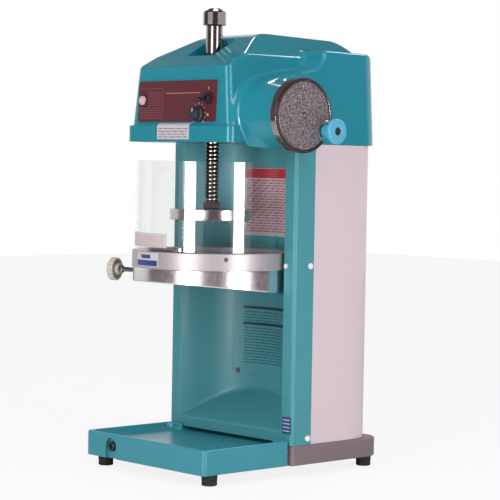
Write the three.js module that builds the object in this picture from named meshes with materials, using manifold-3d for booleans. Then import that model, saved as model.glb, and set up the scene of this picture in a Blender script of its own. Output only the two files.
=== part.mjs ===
// A block-ice shaver: a column on a cast base carries a blade ring, and a motor in the head turns a
// threaded spindle whose spiked plate presses the ice on the blade. Millimetres, +Z up, front towards -Y.
// The model is drawn about the spindle's axis, then moved so that the origin is the bottom centre of
// its box.

import * as THREE from 'three';
import { mergeVertices } from 'three/addons/utils/BufferGeometryUtils.js';
import Module from 'manifold-3d';

const wasm = await Module();
wasm.setup();

// ---------------------------------------------------------------- driving dimensions, mm

const GAP = 0.3; // clearance between pieces that touch
const SHEET = 3; // casings and head cover

// Base and feet
const FOOT_HEIGHT = 18;
const FOOT_RADIUS = 13;
const BASE_HEIGHT = 32.5;
const BASE_LEDGE = 2.4; // the base stands out this far beyond the column's sides
const BASE_REAR = 259;
const BASE_CORNER = 32;
const BASE_WALL = 5;
const BASE_STEP = 4.5; // drop of the base's nose below its top, for the tray

// Drip tray
const TRAY_WIDTH = 300;
const TRAY_FRONT = -140;
const TRAY_HEIGHT = 41.2;
const TRAY_LIFT = 18.5; // skirt above the floor
const TRAY_RIM = 7;
const TRAY_WALL = 2.5;
const TRAY_DEPTH = 11.4; // rim to basin floor
const TRAY_FLOOR = 2;
const TONGUE_WIDTH = 236;
const TONGUE_REACH = 32; // basin under the column's apron
const NIPPLE_X = -84.5;
const NIPPLE_DROP = 20.8; // rim to the drain's axis
const NIPPLE_RADIUS = 8.5;

// Column
const COLUMN_WIDTH = 307.2;
const COLUMN_HEIGHT = 494.2;
const COLUMN_FRONT = 46.8;
const SEAM_DEPTH = 43.2; // flange front to the rear cover's edge
const RECESS_RADIUS = 136;
const SCOOP_LIP = 22; // apron's top above the column's foot
const SCOOP_SLOPE = 30; // degrees
const APRON_GAP = 4.5; // the apron's edge above the column's foot
const COVER_REAR = 243;
const GLAND_X = -60;
const GLAND_RISE = 34; // gland's axis above the column's foot
const GLAND_BORE = 8;
const POST_SIZE = 22;
const POST_X = 127;
const POST_Y = 130;

// Blade ring, table and guard
const RING_HEIGHT = 315.7; // ring's top above the base's top
const RING_RADIUS = 131;
const RING_DEPTH = 28;
const RING_WALL = 9;
const TABLE_DROP = 6; // ring's top to the blade table
const TABLE_THICK = 6;
const SHROUD_INSET = 2; // ring's outside to the shroud's
const SHROUD_WALL = 1.5;
const SHROUD_FRONT_DEPTH = 22;
const SHROUD_REAR_DEPTH = 47;
const BLADE_INNER = 16; // spindle's axis to the blade's inner end
const BLADE_CLEAR = 12; // blade's outer end to the ring's inside
const SLOT_HALF = 12;
const BLADE_TILT = 30; // degrees
const BLADE_THICK = 3;
const ADJUSTER_ANGLE = 201.5; // degrees about the spindle, from +X
const ADJUSTER_DROP = 38.2; // below the ring's top
const ADJUSTER_REACH = 59; // knob's outer face from the ring's outside
const KNOB_RADIUS = 19.75;
const KNOB_THICK = 12;
const GUARD_INSET = 4.5; // ring's outside to the guard's
const GUARD_WALL = 3;
const GUARD_HEIGHT = 147.5;
const GUARD_ARC = 217.8; // degrees, centred on the front
const RING_LEDGE = 5;
const BOLT_STANDOFF = 5;
const BOLT_X = 48;
const BOLT_RADIUS = 3.5;
const BOLT_RISE = 9; // ring bolts above the ring's lower edge

// Spindle and feed
const SCREW_RADIUS = 12;
const SHANK_RADIUS = 13.8;
const SHANK_LENGTH = 47;
const CAP_RADIUS = 18.4;
const CAP_HEIGHT = 29;
const SPINDLE_TOP = 223; // cap's top above the head's bottom edge
const PLATE_RADIUS = 69.5;
const PLATE_THICK = 18;
const PLATE_LIFT = 51; // plate above the ring's top
const SPIKE_LENGTH = 7;
const COLLAR_HEIGHT = 11;
const COLLAR_RADIUS = 15.2;
const FEED_DOWN = 45; // travel below the place shown
const KEYWAY_WIDTH = 6;
const KEYWAY_DEPTH = 2.6;

// Head
const HEAD_FRONT = -76;
const HEAD_REAR = 246;
const HEAD_HALF = 126.5; // nose at its bottom edge
const HEAD_SHOULDER = [111, 142.7]; // half width, height above the bottom edge
const HEAD_CROWN = [60, 182.5]; // half width, height
const HEAD_CREASE = [-71, 122.7]; // y, height
const BRIM_HEIGHT = 27.3;
const BRIM_STEP = 3.3;
const OPENING_HALF = 35;
const OPENING_FRONT = -34;
const OPENING_REAR = 22;
const DECK_LIFT = 4; // deck above the head's bottom edge
const DECK_THICK = 10;

// Handwheel and its bevel gears
const AXLE_RISE = 43.7; // handwheel axis above the head's bottom edge
const AXLE_RADIUS = 8;
const WHEEL_RADIUS = 59.5;
const WHEEL_FACE = 220; // outer face from the spindle's axis
const WHEEL_THICK = 19;
const WHEEL_WALL = 3;
const BOSS_FACE = 197;
const GRIP_RADIUS = 20.5;
const GRIP_LENGTH = 41;
const GRIP_PLACE = [48, -24]; // y and z from the handwheel's axis
const GRIP_NOTCH = 16;
const BEVEL_TEETH = 24;
const BEVEL_RADIUS = 24;
const BEVEL_FACE = 0.27; // share of the cone that the teeth cover

// Motor drive
const GEAR_MODULE = 2;
const GEAR_TEETH = 48;
const PINION_TEETH = 16;
const GEAR_FACE = 16;
const CASE_PLATE = 6;
const CASE_SPACE = 26;
const SLEEVE_RADIUS = 20;
const COUNTER_RADIUS = 7;
const COUNTER_PULLEY = 44;
const MOTOR_PULLEY = 22;
const PULLEY_WIDTH = 16;
const GROOVE_WIDTH = 10;
const GROOVE_DEPTH = 7;
const BELT_THICK = 6;
const MOTOR_Y = 190;
const MOTOR_RADIUS = 45;
const MOTOR_LENGTH = 140;
const MOTOR_SHAFT = 7;

// Control panel, in its own plane: u to the right, v up, w out
const PANEL_SIZE = [197, 67];
const PANEL_THICK = 2;
const PANEL_PLACE = [-5, 66.5]; // x, height above the head's bottom edge
const TOGGLE_AT = [78, 4];
const DIAL_AT = [55.5, -21.5];
const RESET_AT = [-86, 2];
const DIAL_RADIUS = 13;
const RESET_RADIUS = 8;
const TOGGLE_REST = 12; // degrees below level

// ---------------------------------------------------------------- heights and places that follow

const columnHalf = COLUMN_WIDTH / 2;
const baseHalf = columnHalf + BASE_LEDGE;
const baseTop = FOOT_HEIGHT + BASE_HEIGHT;
const baseNoseTop = baseTop - BASE_STEP;
const trayTop = TRAY_LIFT + TRAY_HEIGHT;
const trayRear = COLUMN_FRONT - 2 * GAP;
const basinFloor = trayTop - TRAY_DEPTH;
const noseHalf = TRAY_WIDTH / 2 - TRAY_WALL - 2 * GAP;
const columnFoot = baseTop + GAP;
const columnTop = columnFoot + COLUMN_HEIGHT;
const seamY = COLUMN_FRONT + SEAM_DEPTH;
const headBottom = columnTop + GAP;
const deckBottom = headBottom + DECK_LIFT;
const deckTop = deckBottom + DECK_THICK;
const axleZ = headBottom + AXLE_RISE;
const ringTop = baseTop + RING_HEIGHT;
const ringBottom = ringTop - RING_DEPTH;
const ringInner = RING_RADIUS - RING_WALL;
const shroudRadius = RING_RADIUS - SHROUD_INSET;
const guardRadius = RING_RADIUS - GUARD_INSET;
const bladeLength = ringInner - BLADE_INNER - BLADE_CLEAR;
const tableTop = ringTop - TABLE_DROP;
const tableBottom = tableTop - TABLE_THICK;
const adjusterZ = ringTop - ADJUSTER_DROP;
const plateBottom = ringTop + PLATE_LIFT;
const plateTop = plateBottom + PLATE_THICK;
const collarBottom = plateTop + GAP;
const collarTop = collarBottom + COLLAR_HEIGHT;
const spindleTop = headBottom + SPINDLE_TOP;
const capBottom = spindleTop - CAP_HEIGHT;
const shankBottom = capBottom - SHANK_LENGTH;
const counterbore = shankBottom - FEED_DOWN - 1.5;
const caseBottom = axleZ + BEVEL_RADIUS + GEAR_MODULE + 1.5;
const caseFloor = caseBottom + CASE_PLATE;
const caseUpper = caseFloor + CASE_SPACE;
const caseTop = caseUpper + CASE_PLATE;
const gearZ = caseFloor + (CASE_SPACE - GEAR_FACE) / 2;
const gearRadius = (GEAR_MODULE * GEAR_TEETH) / 2;
const pinionRadius = (GEAR_MODULE * PINION_TEETH) / 2;
const counterY = gearRadius + pinionRadius;
const pulleyZ = caseTop + 8;
const wheelBack = WHEEL_FACE - WHEEL_THICK;
const webFace = wheelBack + 4.5;
const postRear = POST_Y + POST_SIZE / 2;
const panelLean = Math.atan2(HEAD_CREASE[0] - HEAD_FRONT, HEAD_CREASE[1]);

// ---------------------------------------------------------------- shapes

const TAU = Math.PI * 2;
const radians = (degrees) => (degrees * Math.PI) / 180;

// A closed geometry as a solid, with its faces pointing out.
function solid(geometry) {
  const bare = new THREE.BufferGeometry();
  bare.setAttribute('position', geometry.getAttribute('position'));
  bare.setIndex(geometry.index);
  const merged = mergeVertices(bare, 1e-4);
  const place = merged.getAttribute('position');
  const index = merged.index.array;
  const triangles = [];
  let volume = 0;
  const corner = (i) => new THREE.Vector3().fromBufferAttribute(place, i);
  for (let i = 0; i < index.length; i += 3) {
    const [a, b, c] = [index[i], index[i + 1], index[i + 2]];
    if (a === b || b === c || c === a) continue;
    triangles.push(a, b, c);
    volume += corner(a).dot(corner(b).cross(corner(c)));
  }
  if (volume < 0) triangles.reverse();
  return new wasm.Manifold(
    new wasm.Mesh({
      numProp: 3,
      vertProperties: new Float32Array(place.array),
      triVerts: new Uint32Array(triangles),
    })
  );
}

const join = (first, ...others) => others.reduce((sum, other) => sum.add(other), first);
const cut = (first, ...others) => others.reduce((rest, other) => rest.subtract(other), first);

// Closed outline with rounded corners, each corner being [x, y, radius].
function outline(corners, step = radians(24)) {
  const points = [];
  corners.forEach(([x, y, radius = 0], i) => {
    const corner = new THREE.Vector2(x, y);
    if (!radius) {
      points.push(corner);
      return;
    }
    const [bx, by] = corners[(i + corners.length - 1) % corners.length];
    const [ax, ay] = corners[(i + 1) % corners.length];
    const back = new THREE.Vector2(bx, by).sub(corner).normalize();
    const ahead = new THREE.Vector2(ax, ay).sub(corner).normalize();
    const half = Math.acos(THREE.MathUtils.clamp(back.dot(ahead), -1, 1)) / 2;
    const middle = back.clone().add(ahead).normalize();
    const centre = corner.clone().addScaledVector(middle, radius / Math.sin(half));
    const start = corner.clone().addScaledVector(back, radius / Math.tan(half)).sub(centre).angle();
    const end = corner.clone().addScaledVector(ahead, radius / Math.tan(half)).sub(centre).angle();
    const sweep = ((end - start + TAU + Math.PI) % TAU) - Math.PI;
    const steps = Math.max(1, Math.ceil(Math.abs(sweep) / step));
    for (let k = 0; k <= steps; k += 1) {
      const angle = start + (sweep * k) / steps;
      points.push(new THREE.Vector2(Math.cos(angle), Math.sin(angle)).multiplyScalar(radius).add(centre));
    }
  });
  return points;
}

// Points along an arc about the origin, from one angle to another, in degrees.
function arc(radius, from, to, steps) {
  return Array.from({ length: steps + 1 }, (_, k) => {
    const angle = radians(from + ((to - from) * k) / steps);
    return new THREE.Vector2(radius * Math.cos(angle), radius * Math.sin(angle));
  });
}

function prismGeometry(points, low, high) {
  const shape = new THREE.Shape(points);
  return new THREE.ExtrudeGeometry(shape, { depth: high - low, bevelEnabled: false }).translate(0, 0, low);
}

// An outline in X and Y, standing between two heights.
const prismZ = (points, low, high) => solid(prismGeometry(points, low, high));

// An outline in Y and Z, from one x to another.
const prismX = (points, low, high) =>
  solid(prismGeometry(points, low, high).rotateX(Math.PI / 2).rotateZ(Math.PI / 2));

// An outline in X and Z, from one y to another.
const prismY = (points, low, high) => solid(prismGeometry(points, -high, -low).rotateX(Math.PI / 2));

function box(x0, x1, y0, y1, z0, z1) {
  const geometry = new THREE.BoxGeometry(x1 - x0, y1 - y0, z1 - z0);
  return solid(geometry.translate((x0 + x1) / 2, (y0 + y1) / 2, (z0 + z1) / 2));
}

// A body turned about Z, its profile given as [radius, height] from axis to axis, or closed by `ring`.
function turnedGeometry(profile, sides) {
  const points = profile.map(([radius, height]) => new THREE.Vector2(radius, height));
  return new THREE.LatheGeometry(points, sides).rotateX(Math.PI / 2);
}
const turned = (profile, sides = 24) => solid(turnedGeometry(profile, sides));
const ring = (profile, sides = 24) => turned([...profile, profile[0]], sides);
const rod = (radius, low, high, sides = 20) =>
  turned([[0, low], [radius, low], [radius, high], [0, high]], sides);
const tube = (inner, outer, low, high, sides = 24) =>
  ring([[inner, low], [outer, low], [outer, high], [inner, high]], sides);

// The same about an axis along X: `height` is x, and the axis passes at y and z.
const alongX = (profile, y, z, sides = 24) =>
  solid(turnedGeometry(profile, sides).rotateY(Math.PI / 2).translate(0, y, z));
const rodX = (radius, low, high, y, z, sides = 20) =>
  alongX([[0, low], [radius, low], [radius, high], [0, high]], y, z, sides);
const rodY = (radius, low, high, x, z, sides = 20) =>
  solid(
    turnedGeometry([[0, low], [radius, low], [radius, high], [0, high]], sides)
      .rotateX(-Math.PI / 2)
      .translate(x, 0, z)
  );
const rodAt = (radius, low, high, x, y, sides = 20) =>
  solid(turnedGeometry([[0, low], [radius, low], [radius, high], [0, high]], sides).translate(x, y, 0));

// A solid with straight ruled sides between two outlines of as many points, at two heights.
function ruled(lower, low, upper, high) {
  const count = lower.length;
  const rim = (points, z) => points.flatMap(({ x, y }) => [x, y, z]);
  const triangles = [];
  for (let k = 0; k < count; k += 1) {
    const next = (k + 1) % count;
    triangles.push(k, next, count + next, k, count + next, count + k);
    triangles.push(2 * count, next, k, 2 * count + 1, count + k, count + next);
  }
  const geometry = new THREE.BufferGeometry();
  const places = [...rim(lower, low), ...rim(upper, high), 0, 0, low, 0, 0, high];
  geometry.setAttribute('position', new THREE.Float32BufferAttribute(places, 3));
  geometry.setIndex(triangles);
  return geometry;
}

// Outline of a spur gear: straight flanks, tooth thickness a little under half the pitch.
function gearOutline(teeth, module, share, phase = 0) {
  const pitch = (teeth * module) / 2;
  const step = TAU / teeth;
  const marks = [
    [-share * 0.75, pitch - 1.15 * module],
    [-share * 0.28, pitch + 0.85 * module],
    [share * 0.28, pitch + 0.85 * module],
    [share * 0.75, pitch - 1.15 * module],
  ];
  return Array.from({ length: teeth }, (_, tooth) =>
    marks.map(([turn, radius]) => {
      const angle = phase + (tooth + turn) * step;
      return new THREE.Vector2(radius * Math.cos(angle), radius * Math.sin(angle));
    })
  ).flat();
}

// ---------------------------------------------------------------- finishes

const finish = (color, roughness, metalness, extra = {}) =>
  new THREE.MeshStandardMaterial({ color, roughness, metalness, ...extra });
const headPaint = finish(0x2a879b, 0.25, 0.1);
const trayPlastic = finish(0x419baf, 0.35, 0);
const columnPaint = finish(0x469196, 0.35, 0.1);
const coverPaint = finish(0xdecdd2, 0.4, 0);
const castGrey = finish(0x8c7d82, 0.55, 0.3);
const rubber = finish(0x141414, 0.85, 0);
const chrome = finish(0xd8d6d4, 0.12, 1);
const stainless = finish(0xc4c0c0, 0.25, 1);
const aluminium = finish(0xbdb9ba, 0.42, 0.9);
const steel = finish(0x8a8a8c, 0.4, 0.9);
const castIron = finish(0x55585a, 0.7, 0.5);
const brass = finish(0xb39150, 0.35, 0.9);
const maroon = finish(0x501423, 0.4, 0);
const blackPlastic = finish(0x17181a, 0.45, 0);
const ivoryPlastic = finish(0xcdc3b2, 0.45, 0);
const whitePlastic = finish(0xf2eef0, 0.4, 0);
const gripPlastic = finish(0x3f9cb8, 0.4, 0);
const hammered = finish(0x857a7c, 0.8, 0.3);
const clear = finish(0xeef6f6, 0.05, 0, { transparent: true, opacity: 0.25 });

// ---------------------------------------------------------------- scene graph

const machine = new THREE.Group();

function add(name, shape, material, group = machine) {
  const { vertProperties, triVerts } = shape.getMesh();
  const geometry = new THREE.BufferGeometry();
  geometry.setAttribute('position', new THREE.BufferAttribute(new Float32Array(vertProperties), 3));
  geometry.setIndex(new THREE.BufferAttribute(new Uint32Array(triVerts), 1));
  geometry.computeVertexNormals();
  const mesh = new THREE.Mesh(geometry, material);
  mesh.name = name;
  group.add(mesh);
  return mesh;
}

// ---------------------------------------------------------------- base, feet and tray

function buildBase() {
  const rear = outline([
    [-baseHalf, COLUMN_FRONT],
    [baseHalf, COLUMN_FRONT],
    [baseHalf, BASE_REAR, BASE_CORNER],
    [-baseHalf, BASE_REAR, BASE_CORNER],
  ]);
  const noseFront = TRAY_FRONT + TRAY_WALL + 2 * GAP;
  const nose = outline([
    [-noseHalf, noseFront, 4],
    [noseHalf, noseFront, 4],
    [noseHalf, COLUMN_FRONT + 1],
    [-noseHalf, COLUMN_FRONT + 1],
  ]);
  // The hollow under the casting stops short of the feet at the front and back.
  const sides = noseHalf - 2 * BASE_WALL;
  const hollow = outline([
    [-sides, noseFront + 45, 12],
    [sides, noseFront + 45, 12],
    [sides, BASE_REAR - 42, 12],
    [-sides, BASE_REAR - 42, 12],
  ]);
  const tongueHalf = TONGUE_WIDTH / 2 + 2;
  const tonguePocket = box(
    -tongueHalf, tongueHalf, COLUMN_FRONT - 1, COLUMN_FRONT + TONGUE_REACH + 2, baseNoseTop, baseTop + 1
  );
  const block = join(prismZ(rear, FOOT_HEIGHT, baseTop), prismZ(nose, FOOT_HEIGHT, baseNoseTop));
  const drainNotch = box(
    NIPPLE_X - 18, NIPPLE_X + 18, TRAY_FRONT, TRAY_FRONT + 13, FOOT_HEIGHT - 1, baseNoseTop + 1
  );
  add(
    'base_casting',
    cut(block, prismZ(hollow, FOOT_HEIGHT - 1, baseNoseTop - BASE_WALL), tonguePocket, drainNotch),
    castGrey
  );
}

function buildFeet() {
  const top = FOOT_HEIGHT - GAP;
  const profile = [
    [0, 4],
    [5, 4],
    [5, 0],
    [FOOT_RADIUS - 2, 0],
    [FOOT_RADIUS - 1, 1.2],
    [FOOT_RADIUS, top],
    [0, top],
  ];
  const footX = noseHalf - FOOT_RADIUS - 2;
  const places = {
    foot_front_left: [-footX, TRAY_FRONT + 28],
    foot_front_right: [footX, TRAY_FRONT + 28],
    foot_rear_left: [-footX, BASE_REAR - 20],
    foot_rear_right: [footX, BASE_REAR - 20],
  };
  Object.entries(places).forEach(([name, [x, y]]) => {
    add(name, turned(profile, 24), rubber).position.set(x, y, 0);
  });
}

function buildTray() {
  const half = TRAY_WIDTH / 2;
  const inset = (by, rear, corner) =>
    outline([
      [-half + by, TRAY_FRONT + by, corner],
      [half - by, TRAY_FRONT + by, corner],
      [half - by, rear],
      [-half + by, rear],
    ]);
  const floorBottom = basinFloor - TRAY_FLOOR;
  const tongueHalf = TONGUE_WIDTH / 2;
  const tongueRear = COLUMN_FRONT + TONGUE_REACH;
  const tongue = box(-tongueHalf, tongueHalf, trayRear - 1, tongueRear, floorBottom, basinFloor + 4);
  const tongueBasin = box(
    -tongueHalf + 2, tongueHalf - 2, trayRear - TRAY_RIM - 2, tongueRear - 2, basinFloor, trayTop + 1
  );
  const drainZ = trayTop - NIPPLE_DROP;
  const archTop = drainZ + NIPPLE_RADIUS + 5;
  const arch = outline([
    [NIPPLE_X - 13, TRAY_LIFT - 1],
    [NIPPLE_X + 13, TRAY_LIFT - 1],
    [NIPPLE_X + 13, archTop, 12],
    [NIPPLE_X - 13, archTop, 12],
  ]);
  // The arch is a shallow recess in the skirt, with a boss behind it that the drain screws into.
  const drainBoss = box(
    NIPPLE_X - 16, NIPPLE_X + 16, TRAY_FRONT + 1, TRAY_FRONT + 10, TRAY_LIFT, floorBottom + 1
  );
  const tray = join(
    cut(
      prismZ(inset(0, trayRear, 7), TRAY_LIFT, trayTop),
      prismZ(inset(TRAY_WALL, trayRear + 1, 5), TRAY_LIFT - 1, floorBottom),
      prismZ(inset(TRAY_RIM, trayRear - TRAY_RIM, 4), basinFloor, trayTop + 1)
    ),
    tongue,
    drainBoss
  );
  add(
    'drip_tray',
    cut(
      tray,
      tongueBasin,
      prismY(arch, TRAY_FRONT - 1, TRAY_FRONT + 5),
      rodY(NIPPLE_RADIUS - 2 + GAP, TRAY_FRONT, TRAY_FRONT + 11, NIPPLE_X, drainZ)
    ),
    trayPlastic
  );
  const nipple = solid(
    turnedGeometry(
      [
        [4, -5],
        [NIPPLE_RADIUS, -5],
        [NIPPLE_RADIUS, -GAP],
        [NIPPLE_RADIUS - 2, -GAP],
        [NIPPLE_RADIUS - 2, 5],
        [4, 5],
        [4, -5],
      ],
      24
    ).rotateX(-Math.PI / 2)
  );
  add('drain_nipple', nipple, blackPlastic).position.set(NIPPLE_X, TRAY_FRONT + 5, drainZ);
}

// ---------------------------------------------------------------- column

// Plan of the front casing: flanges, the round recess between them, and the sides back to the seam.
function casingPlan() {
  const half = columnHalf;
  const edge = (radius, y) => (Math.asin(y / radius) * 180) / Math.PI;
  const outer = RECESS_RADIUS + SHEET;
  const from = edge(RECESS_RADIUS, COLUMN_FRONT);
  const back = edge(outer, COLUMN_FRONT + SHEET);
  const corner = (side) =>
    outline([
      [side * (half - SHEET - 8), COLUMN_FRONT],
      [side * half, COLUMN_FRONT, 6],
      [side * half, seamY],
    ]);
  const inner = (side) =>
    outline([
      [side * (half - SHEET), seamY],
      [side * (half - SHEET), COLUMN_FRONT + SHEET, 3],
      [side * (half - SHEET - 8), COLUMN_FRONT + SHEET],
    ]);
  return [
    ...corner(1),
    ...inner(1),
    ...arc(outer, back, 180 - back, 24),
    ...inner(-1).reverse(),
    ...corner(-1).reverse(),
    ...arc(RECESS_RADIUS, 180 - from, from, 24),
  ];
}

function bracketLugs(grow, front) {
  const z = [ringBottom + 2 - grow, ringTop - 3 + grow];
  return join(
    box(-59 - grow, -37 + grow, front, postRear + 2, ...z),
    box(37 - grow, 59 + grow, front, postRear + 2, ...z)
  );
}

function buildColumn() {
  const wall = prismZ(casingPlan(), columnFoot, columnTop);
  const lip = columnFoot + SCOOP_LIP;
  const rise = Math.tan(radians(SCOOP_SLOPE)) * (RECESS_RADIUS + 10);
  const run = COLUMN_FRONT + RECESS_RADIUS + 10;
  // The recess ends in a sloping floor, and an apron closes the front below it.
  const slope = prismX(
    outline([
      [COLUMN_FRONT, lip - SHEET - 1],
      [run, lip - SHEET - 1 + rise],
      [run, lip + rise],
      [COLUMN_FRONT, lip],
    ]),
    -columnHalf,
    columnHalf
  );
  const room = rod(RECESS_RADIUS + 1, columnFoot, columnTop, 96).intersect(
    box(-columnHalf, columnHalf, COLUMN_FRONT, run, columnFoot, columnTop)
  );
  const floor = slope.intersect(room);
  const apron = box(
    -RECESS_RADIUS, RECESS_RADIUS, COLUMN_FRONT, COLUMN_FRONT + SHEET, columnFoot, lip
  );
  const tongueHalf = TONGUE_WIDTH / 2 + 3;
  const tongueGap = box(
    -tongueHalf, tongueHalf, COLUMN_FRONT - 1, BASE_REAR, columnFoot - 1, columnFoot + APRON_GAP
  );
  add('column_casing', cut(join(wall, floor, apron), tongueGap, bracketLugs(1, 90)), columnPaint);

  // Rear cover: a rounded shell from seam to seam.
  const coverPlan = (inset, bow) => {
    const half = columnHalf - inset;
    const depth = COVER_REAR - seamY - inset;
    const steps = 40;
    const points = Array.from({ length: steps + 1 }, (_, k) => {
      const angle = (Math.PI * k) / steps;
      const power = 2 / bow;
      const x = Math.sign(Math.cos(angle)) * Math.abs(Math.cos(angle)) ** power;
      return new THREE.Vector2(half * x, seamY + GAP + depth * Math.sin(angle) ** power);
    });
    return points;
  };
  const closing = (inset) => [
    new THREE.Vector2(-columnHalf + inset, seamY + GAP - inset),
    new THREE.Vector2(columnHalf - inset, seamY + GAP - inset),
  ];
  const shell = cut(
    prismZ(coverPlan(0, 7), columnFoot, columnTop),
    prismZ([...coverPlan(SHEET, 7), ...closing(SHEET)], columnFoot - 1, columnTop + 1)
  );
  const glandRod = (radius, from, to) =>
    rodY(radius, COVER_REAR + from, COVER_REAR + to, GLAND_X, columnFoot + GLAND_RISE);
  add('rear_cover', cut(shell, glandRod(GLAND_BORE + GAP, -20, 10)), coverPaint);
  const gland = join(
    glandRod(GLAND_BORE, -16, 2),
    glandRod(GLAND_BORE + 4, GAP, 6),
    glandRod(GLAND_BORE + 1, 5, 14)
  );
  add('cable_gland', cut(gland, glandRod(GLAND_BORE / 2, -20, 20)), blackPlastic);

  // Domed plastic screws along the seam.
  const dome = [[0, 0], [5.2, 0], [5.2, 1.5], [4.2, 3.2], [2.2, 4.3], [0, 4.6]];
  const heights = { lower: columnFoot + 10.5, upper: columnFoot + 294.7 };
  [-1, 1].forEach((side) => {
    Object.entries(heights).forEach(([level, z]) => {
      const screw = solid(turnedGeometry(dome, 20).rotateY((side * Math.PI) / 2));
      const name = `cover_screw_${level}_${side < 0 ? 'left' : 'right'}`;
      add(name, screw, whitePlastic).position.set(side * (columnHalf + GAP), seamY - 8, z);
    });
  });

  // Two posts inside the corners carry the head on the base.
  [-1, 1].forEach((side) => {
    const half = POST_SIZE / 2;
    const outerPost = box(-half, half, -half, half, columnFoot, deckBottom - GAP);
    const bore = box(3 - half, half - 3, 3 - half, half - 3, columnFoot - 1, deckBottom);
    const name = side < 0 ? 'frame_post_left' : 'frame_post_right';
    add(name, cut(outerPost, bore), steel).position.set(side * POST_X, POST_Y, 0);
  });
}

// ---------------------------------------------------------------- blade ring and what it carries

const boltZ = ringBottom + BOLT_RISE;
const ledge = RING_RADIUS - RING_WALL - RING_LEDGE;
const boltSeat = Math.sqrt(ledge ** 2 - BOLT_X ** 2) - BOLT_STANDOFF;
const ringBolt = (radius, from) =>
  join(...[-1, 1].map((side) => rodY(radius, from, postRear + 12, side * BOLT_X, boltZ)));

// The blade and its adjuster lie along one radius, drawn here along +X.
function aimed(geometry) {
  return geometry.rotateZ(radians(ADJUSTER_ANGLE));
}

function buildRing() {
  const body = ring(
    [
      [ledge, ringBottom],
      [RING_RADIUS, ringBottom],
      [RING_RADIUS, ringTop - 1],
      [RING_RADIUS - 1, ringTop],
      [ringInner, ringTop],
      [ringInner, tableBottom],
      [ledge, tableBottom],
    ],
    54
  );
  const inShroud = shroudRadius - SHROUD_WALL - GAP;
  const lugBlock = solid(
    aimed(
      new THREE.BoxGeometry(14, 22, RING_DEPTH).translate(
        inShroud - 8.5, 0, adjusterZ + RING_DEPTH / 2 - 10
      )
    )
  );
  const lug = lugBlock.intersect(rod(inShroud, adjusterZ - 20, ringTop - 15, 54));
  const bladeEnd = BLADE_INNER + bladeLength;
  const screwWay = solid(
    aimed(turnedGeometry([[0, bladeEnd], [4.4, bladeEnd], [4.4, bladeEnd + 30], [0, bladeEnd + 30]], 20)
      .rotateY(Math.PI / 2))
      .translate(0, 0, adjusterZ)
  );
  add('blade_ring', cut(join(body, lug), screwWay, ringBolt(BOLT_RADIUS + GAP, boltSeat)), aluminium);

  // The shroud hangs from the ring and is cut slanting, deeper at the back.
  const low = ringBottom - SHROUD_REAR_DEPTH;
  const shroudTop = ringBottom - GAP;
  const tilt = (y) => {
    const share = (y + shroudRadius) / (2 * shroudRadius);
    return ringBottom - SHROUD_FRONT_DEPTH - share * (SHROUD_REAR_DEPTH - SHROUD_FRONT_DEPTH);
  };
  const keep = prismX(
    [
      new THREE.Vector2(-shroudRadius - 5, shroudTop + 1),
      new THREE.Vector2(-shroudRadius - 5, tilt(-shroudRadius)),
      new THREE.Vector2(shroudRadius + 5, tilt(shroudRadius)),
      new THREE.Vector2(shroudRadius + 5, shroudTop + 1),
    ],
    -shroudRadius - 5,
    shroudRadius + 5
  );
  const skirt = tube(shroudRadius - SHROUD_WALL, shroudRadius, low - 1, shroudTop, 54).intersect(keep);
  add('ring_shroud', cut(skirt, screwWay, bracketLugs(1, 100)), stainless);

  // Bracket behind the recess wall, with two lugs that reach through it to the ring.
  const lugs = cut(bracketLugs(0, 80), rod(RING_RADIUS + GAP, ringBottom - 5, ringTop + 5, 54));
  const bar = box(-POST_X - 10, POST_X + 10, postRear + GAP, postRear + 8, ringBottom, ringTop);
  add('ring_bracket', cut(join(bar, lugs), ringBolt(BOLT_RADIUS + GAP, boltSeat)), castIron);
  [-1, 1].forEach((side) => {
    const end = postRear + 9;
    const profile = [
      [0, boltSeat - 5],
      [6.4, boltSeat - 5],
      [6.4, boltSeat],
      [BOLT_RADIUS, boltSeat],
      [BOLT_RADIUS, end],
      [0, end],
    ];
    const bolt = solid(turnedGeometry(profile, 6).rotateX(-Math.PI / 2));
    const name = side < 0 ? 'ring_bolt_left' : 'ring_bolt_right';
    add(name, bolt, steel).position.set(side * BOLT_X, 0, boltZ);
  });
}

function buildTable() {
  const slot = solid(
    aimed(
      new THREE.BoxGeometry(bladeLength + 4, 2 * SLOT_HALF, TABLE_THICK + 4).translate(
        BLADE_INNER + bladeLength / 2, 0, (tableTop + tableBottom) / 2
      )
    )
  );
  const disc = rod(ringInner - GAP, tableBottom + GAP, tableTop, 54);
  add('blade_table', cut(disc, slot), stainless);

  // The blade leans back from its edge, and its holder is a bar under it.
  const holder = new THREE.Group();
  holder.rotation.z = radians(ADJUSTER_ANGLE);
  machine.add(holder);
  const lean = radians(BLADE_TILT);
  const along = new THREE.Vector2(Math.cos(lean), -Math.sin(lean));
  const under = new THREE.Vector2(-Math.sin(lean), -Math.cos(lean));
  const edge = new THREE.Vector2(-3, tableTop + 0.5);
  const at = (run, drop) => edge.clone().addScaledVector(along, run).addScaledVector(under, drop);
  const reach = [BLADE_INNER, BLADE_INNER + bladeLength];
  const section = [at(0, 0), at(26, 0), at(26, BLADE_THICK), at(4.5, BLADE_THICK)];
  add('blade', prismX(section, ...reach), stainless, holder);
  const seat = BLADE_THICK + GAP;
  const bottom = adjusterZ - 6;
  const bar = [
    at(5.5, seat),
    at(26, seat),
    new THREE.Vector2(at(26, seat).x, bottom),
    new THREE.Vector2(at(26, seat).x - 14, bottom),
    new THREE.Vector2(at(5.5, seat).x, at(26, seat).y),
  ];
  add('blade_holder', prismX(bar, ...reach), castIron, holder);
}

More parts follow.
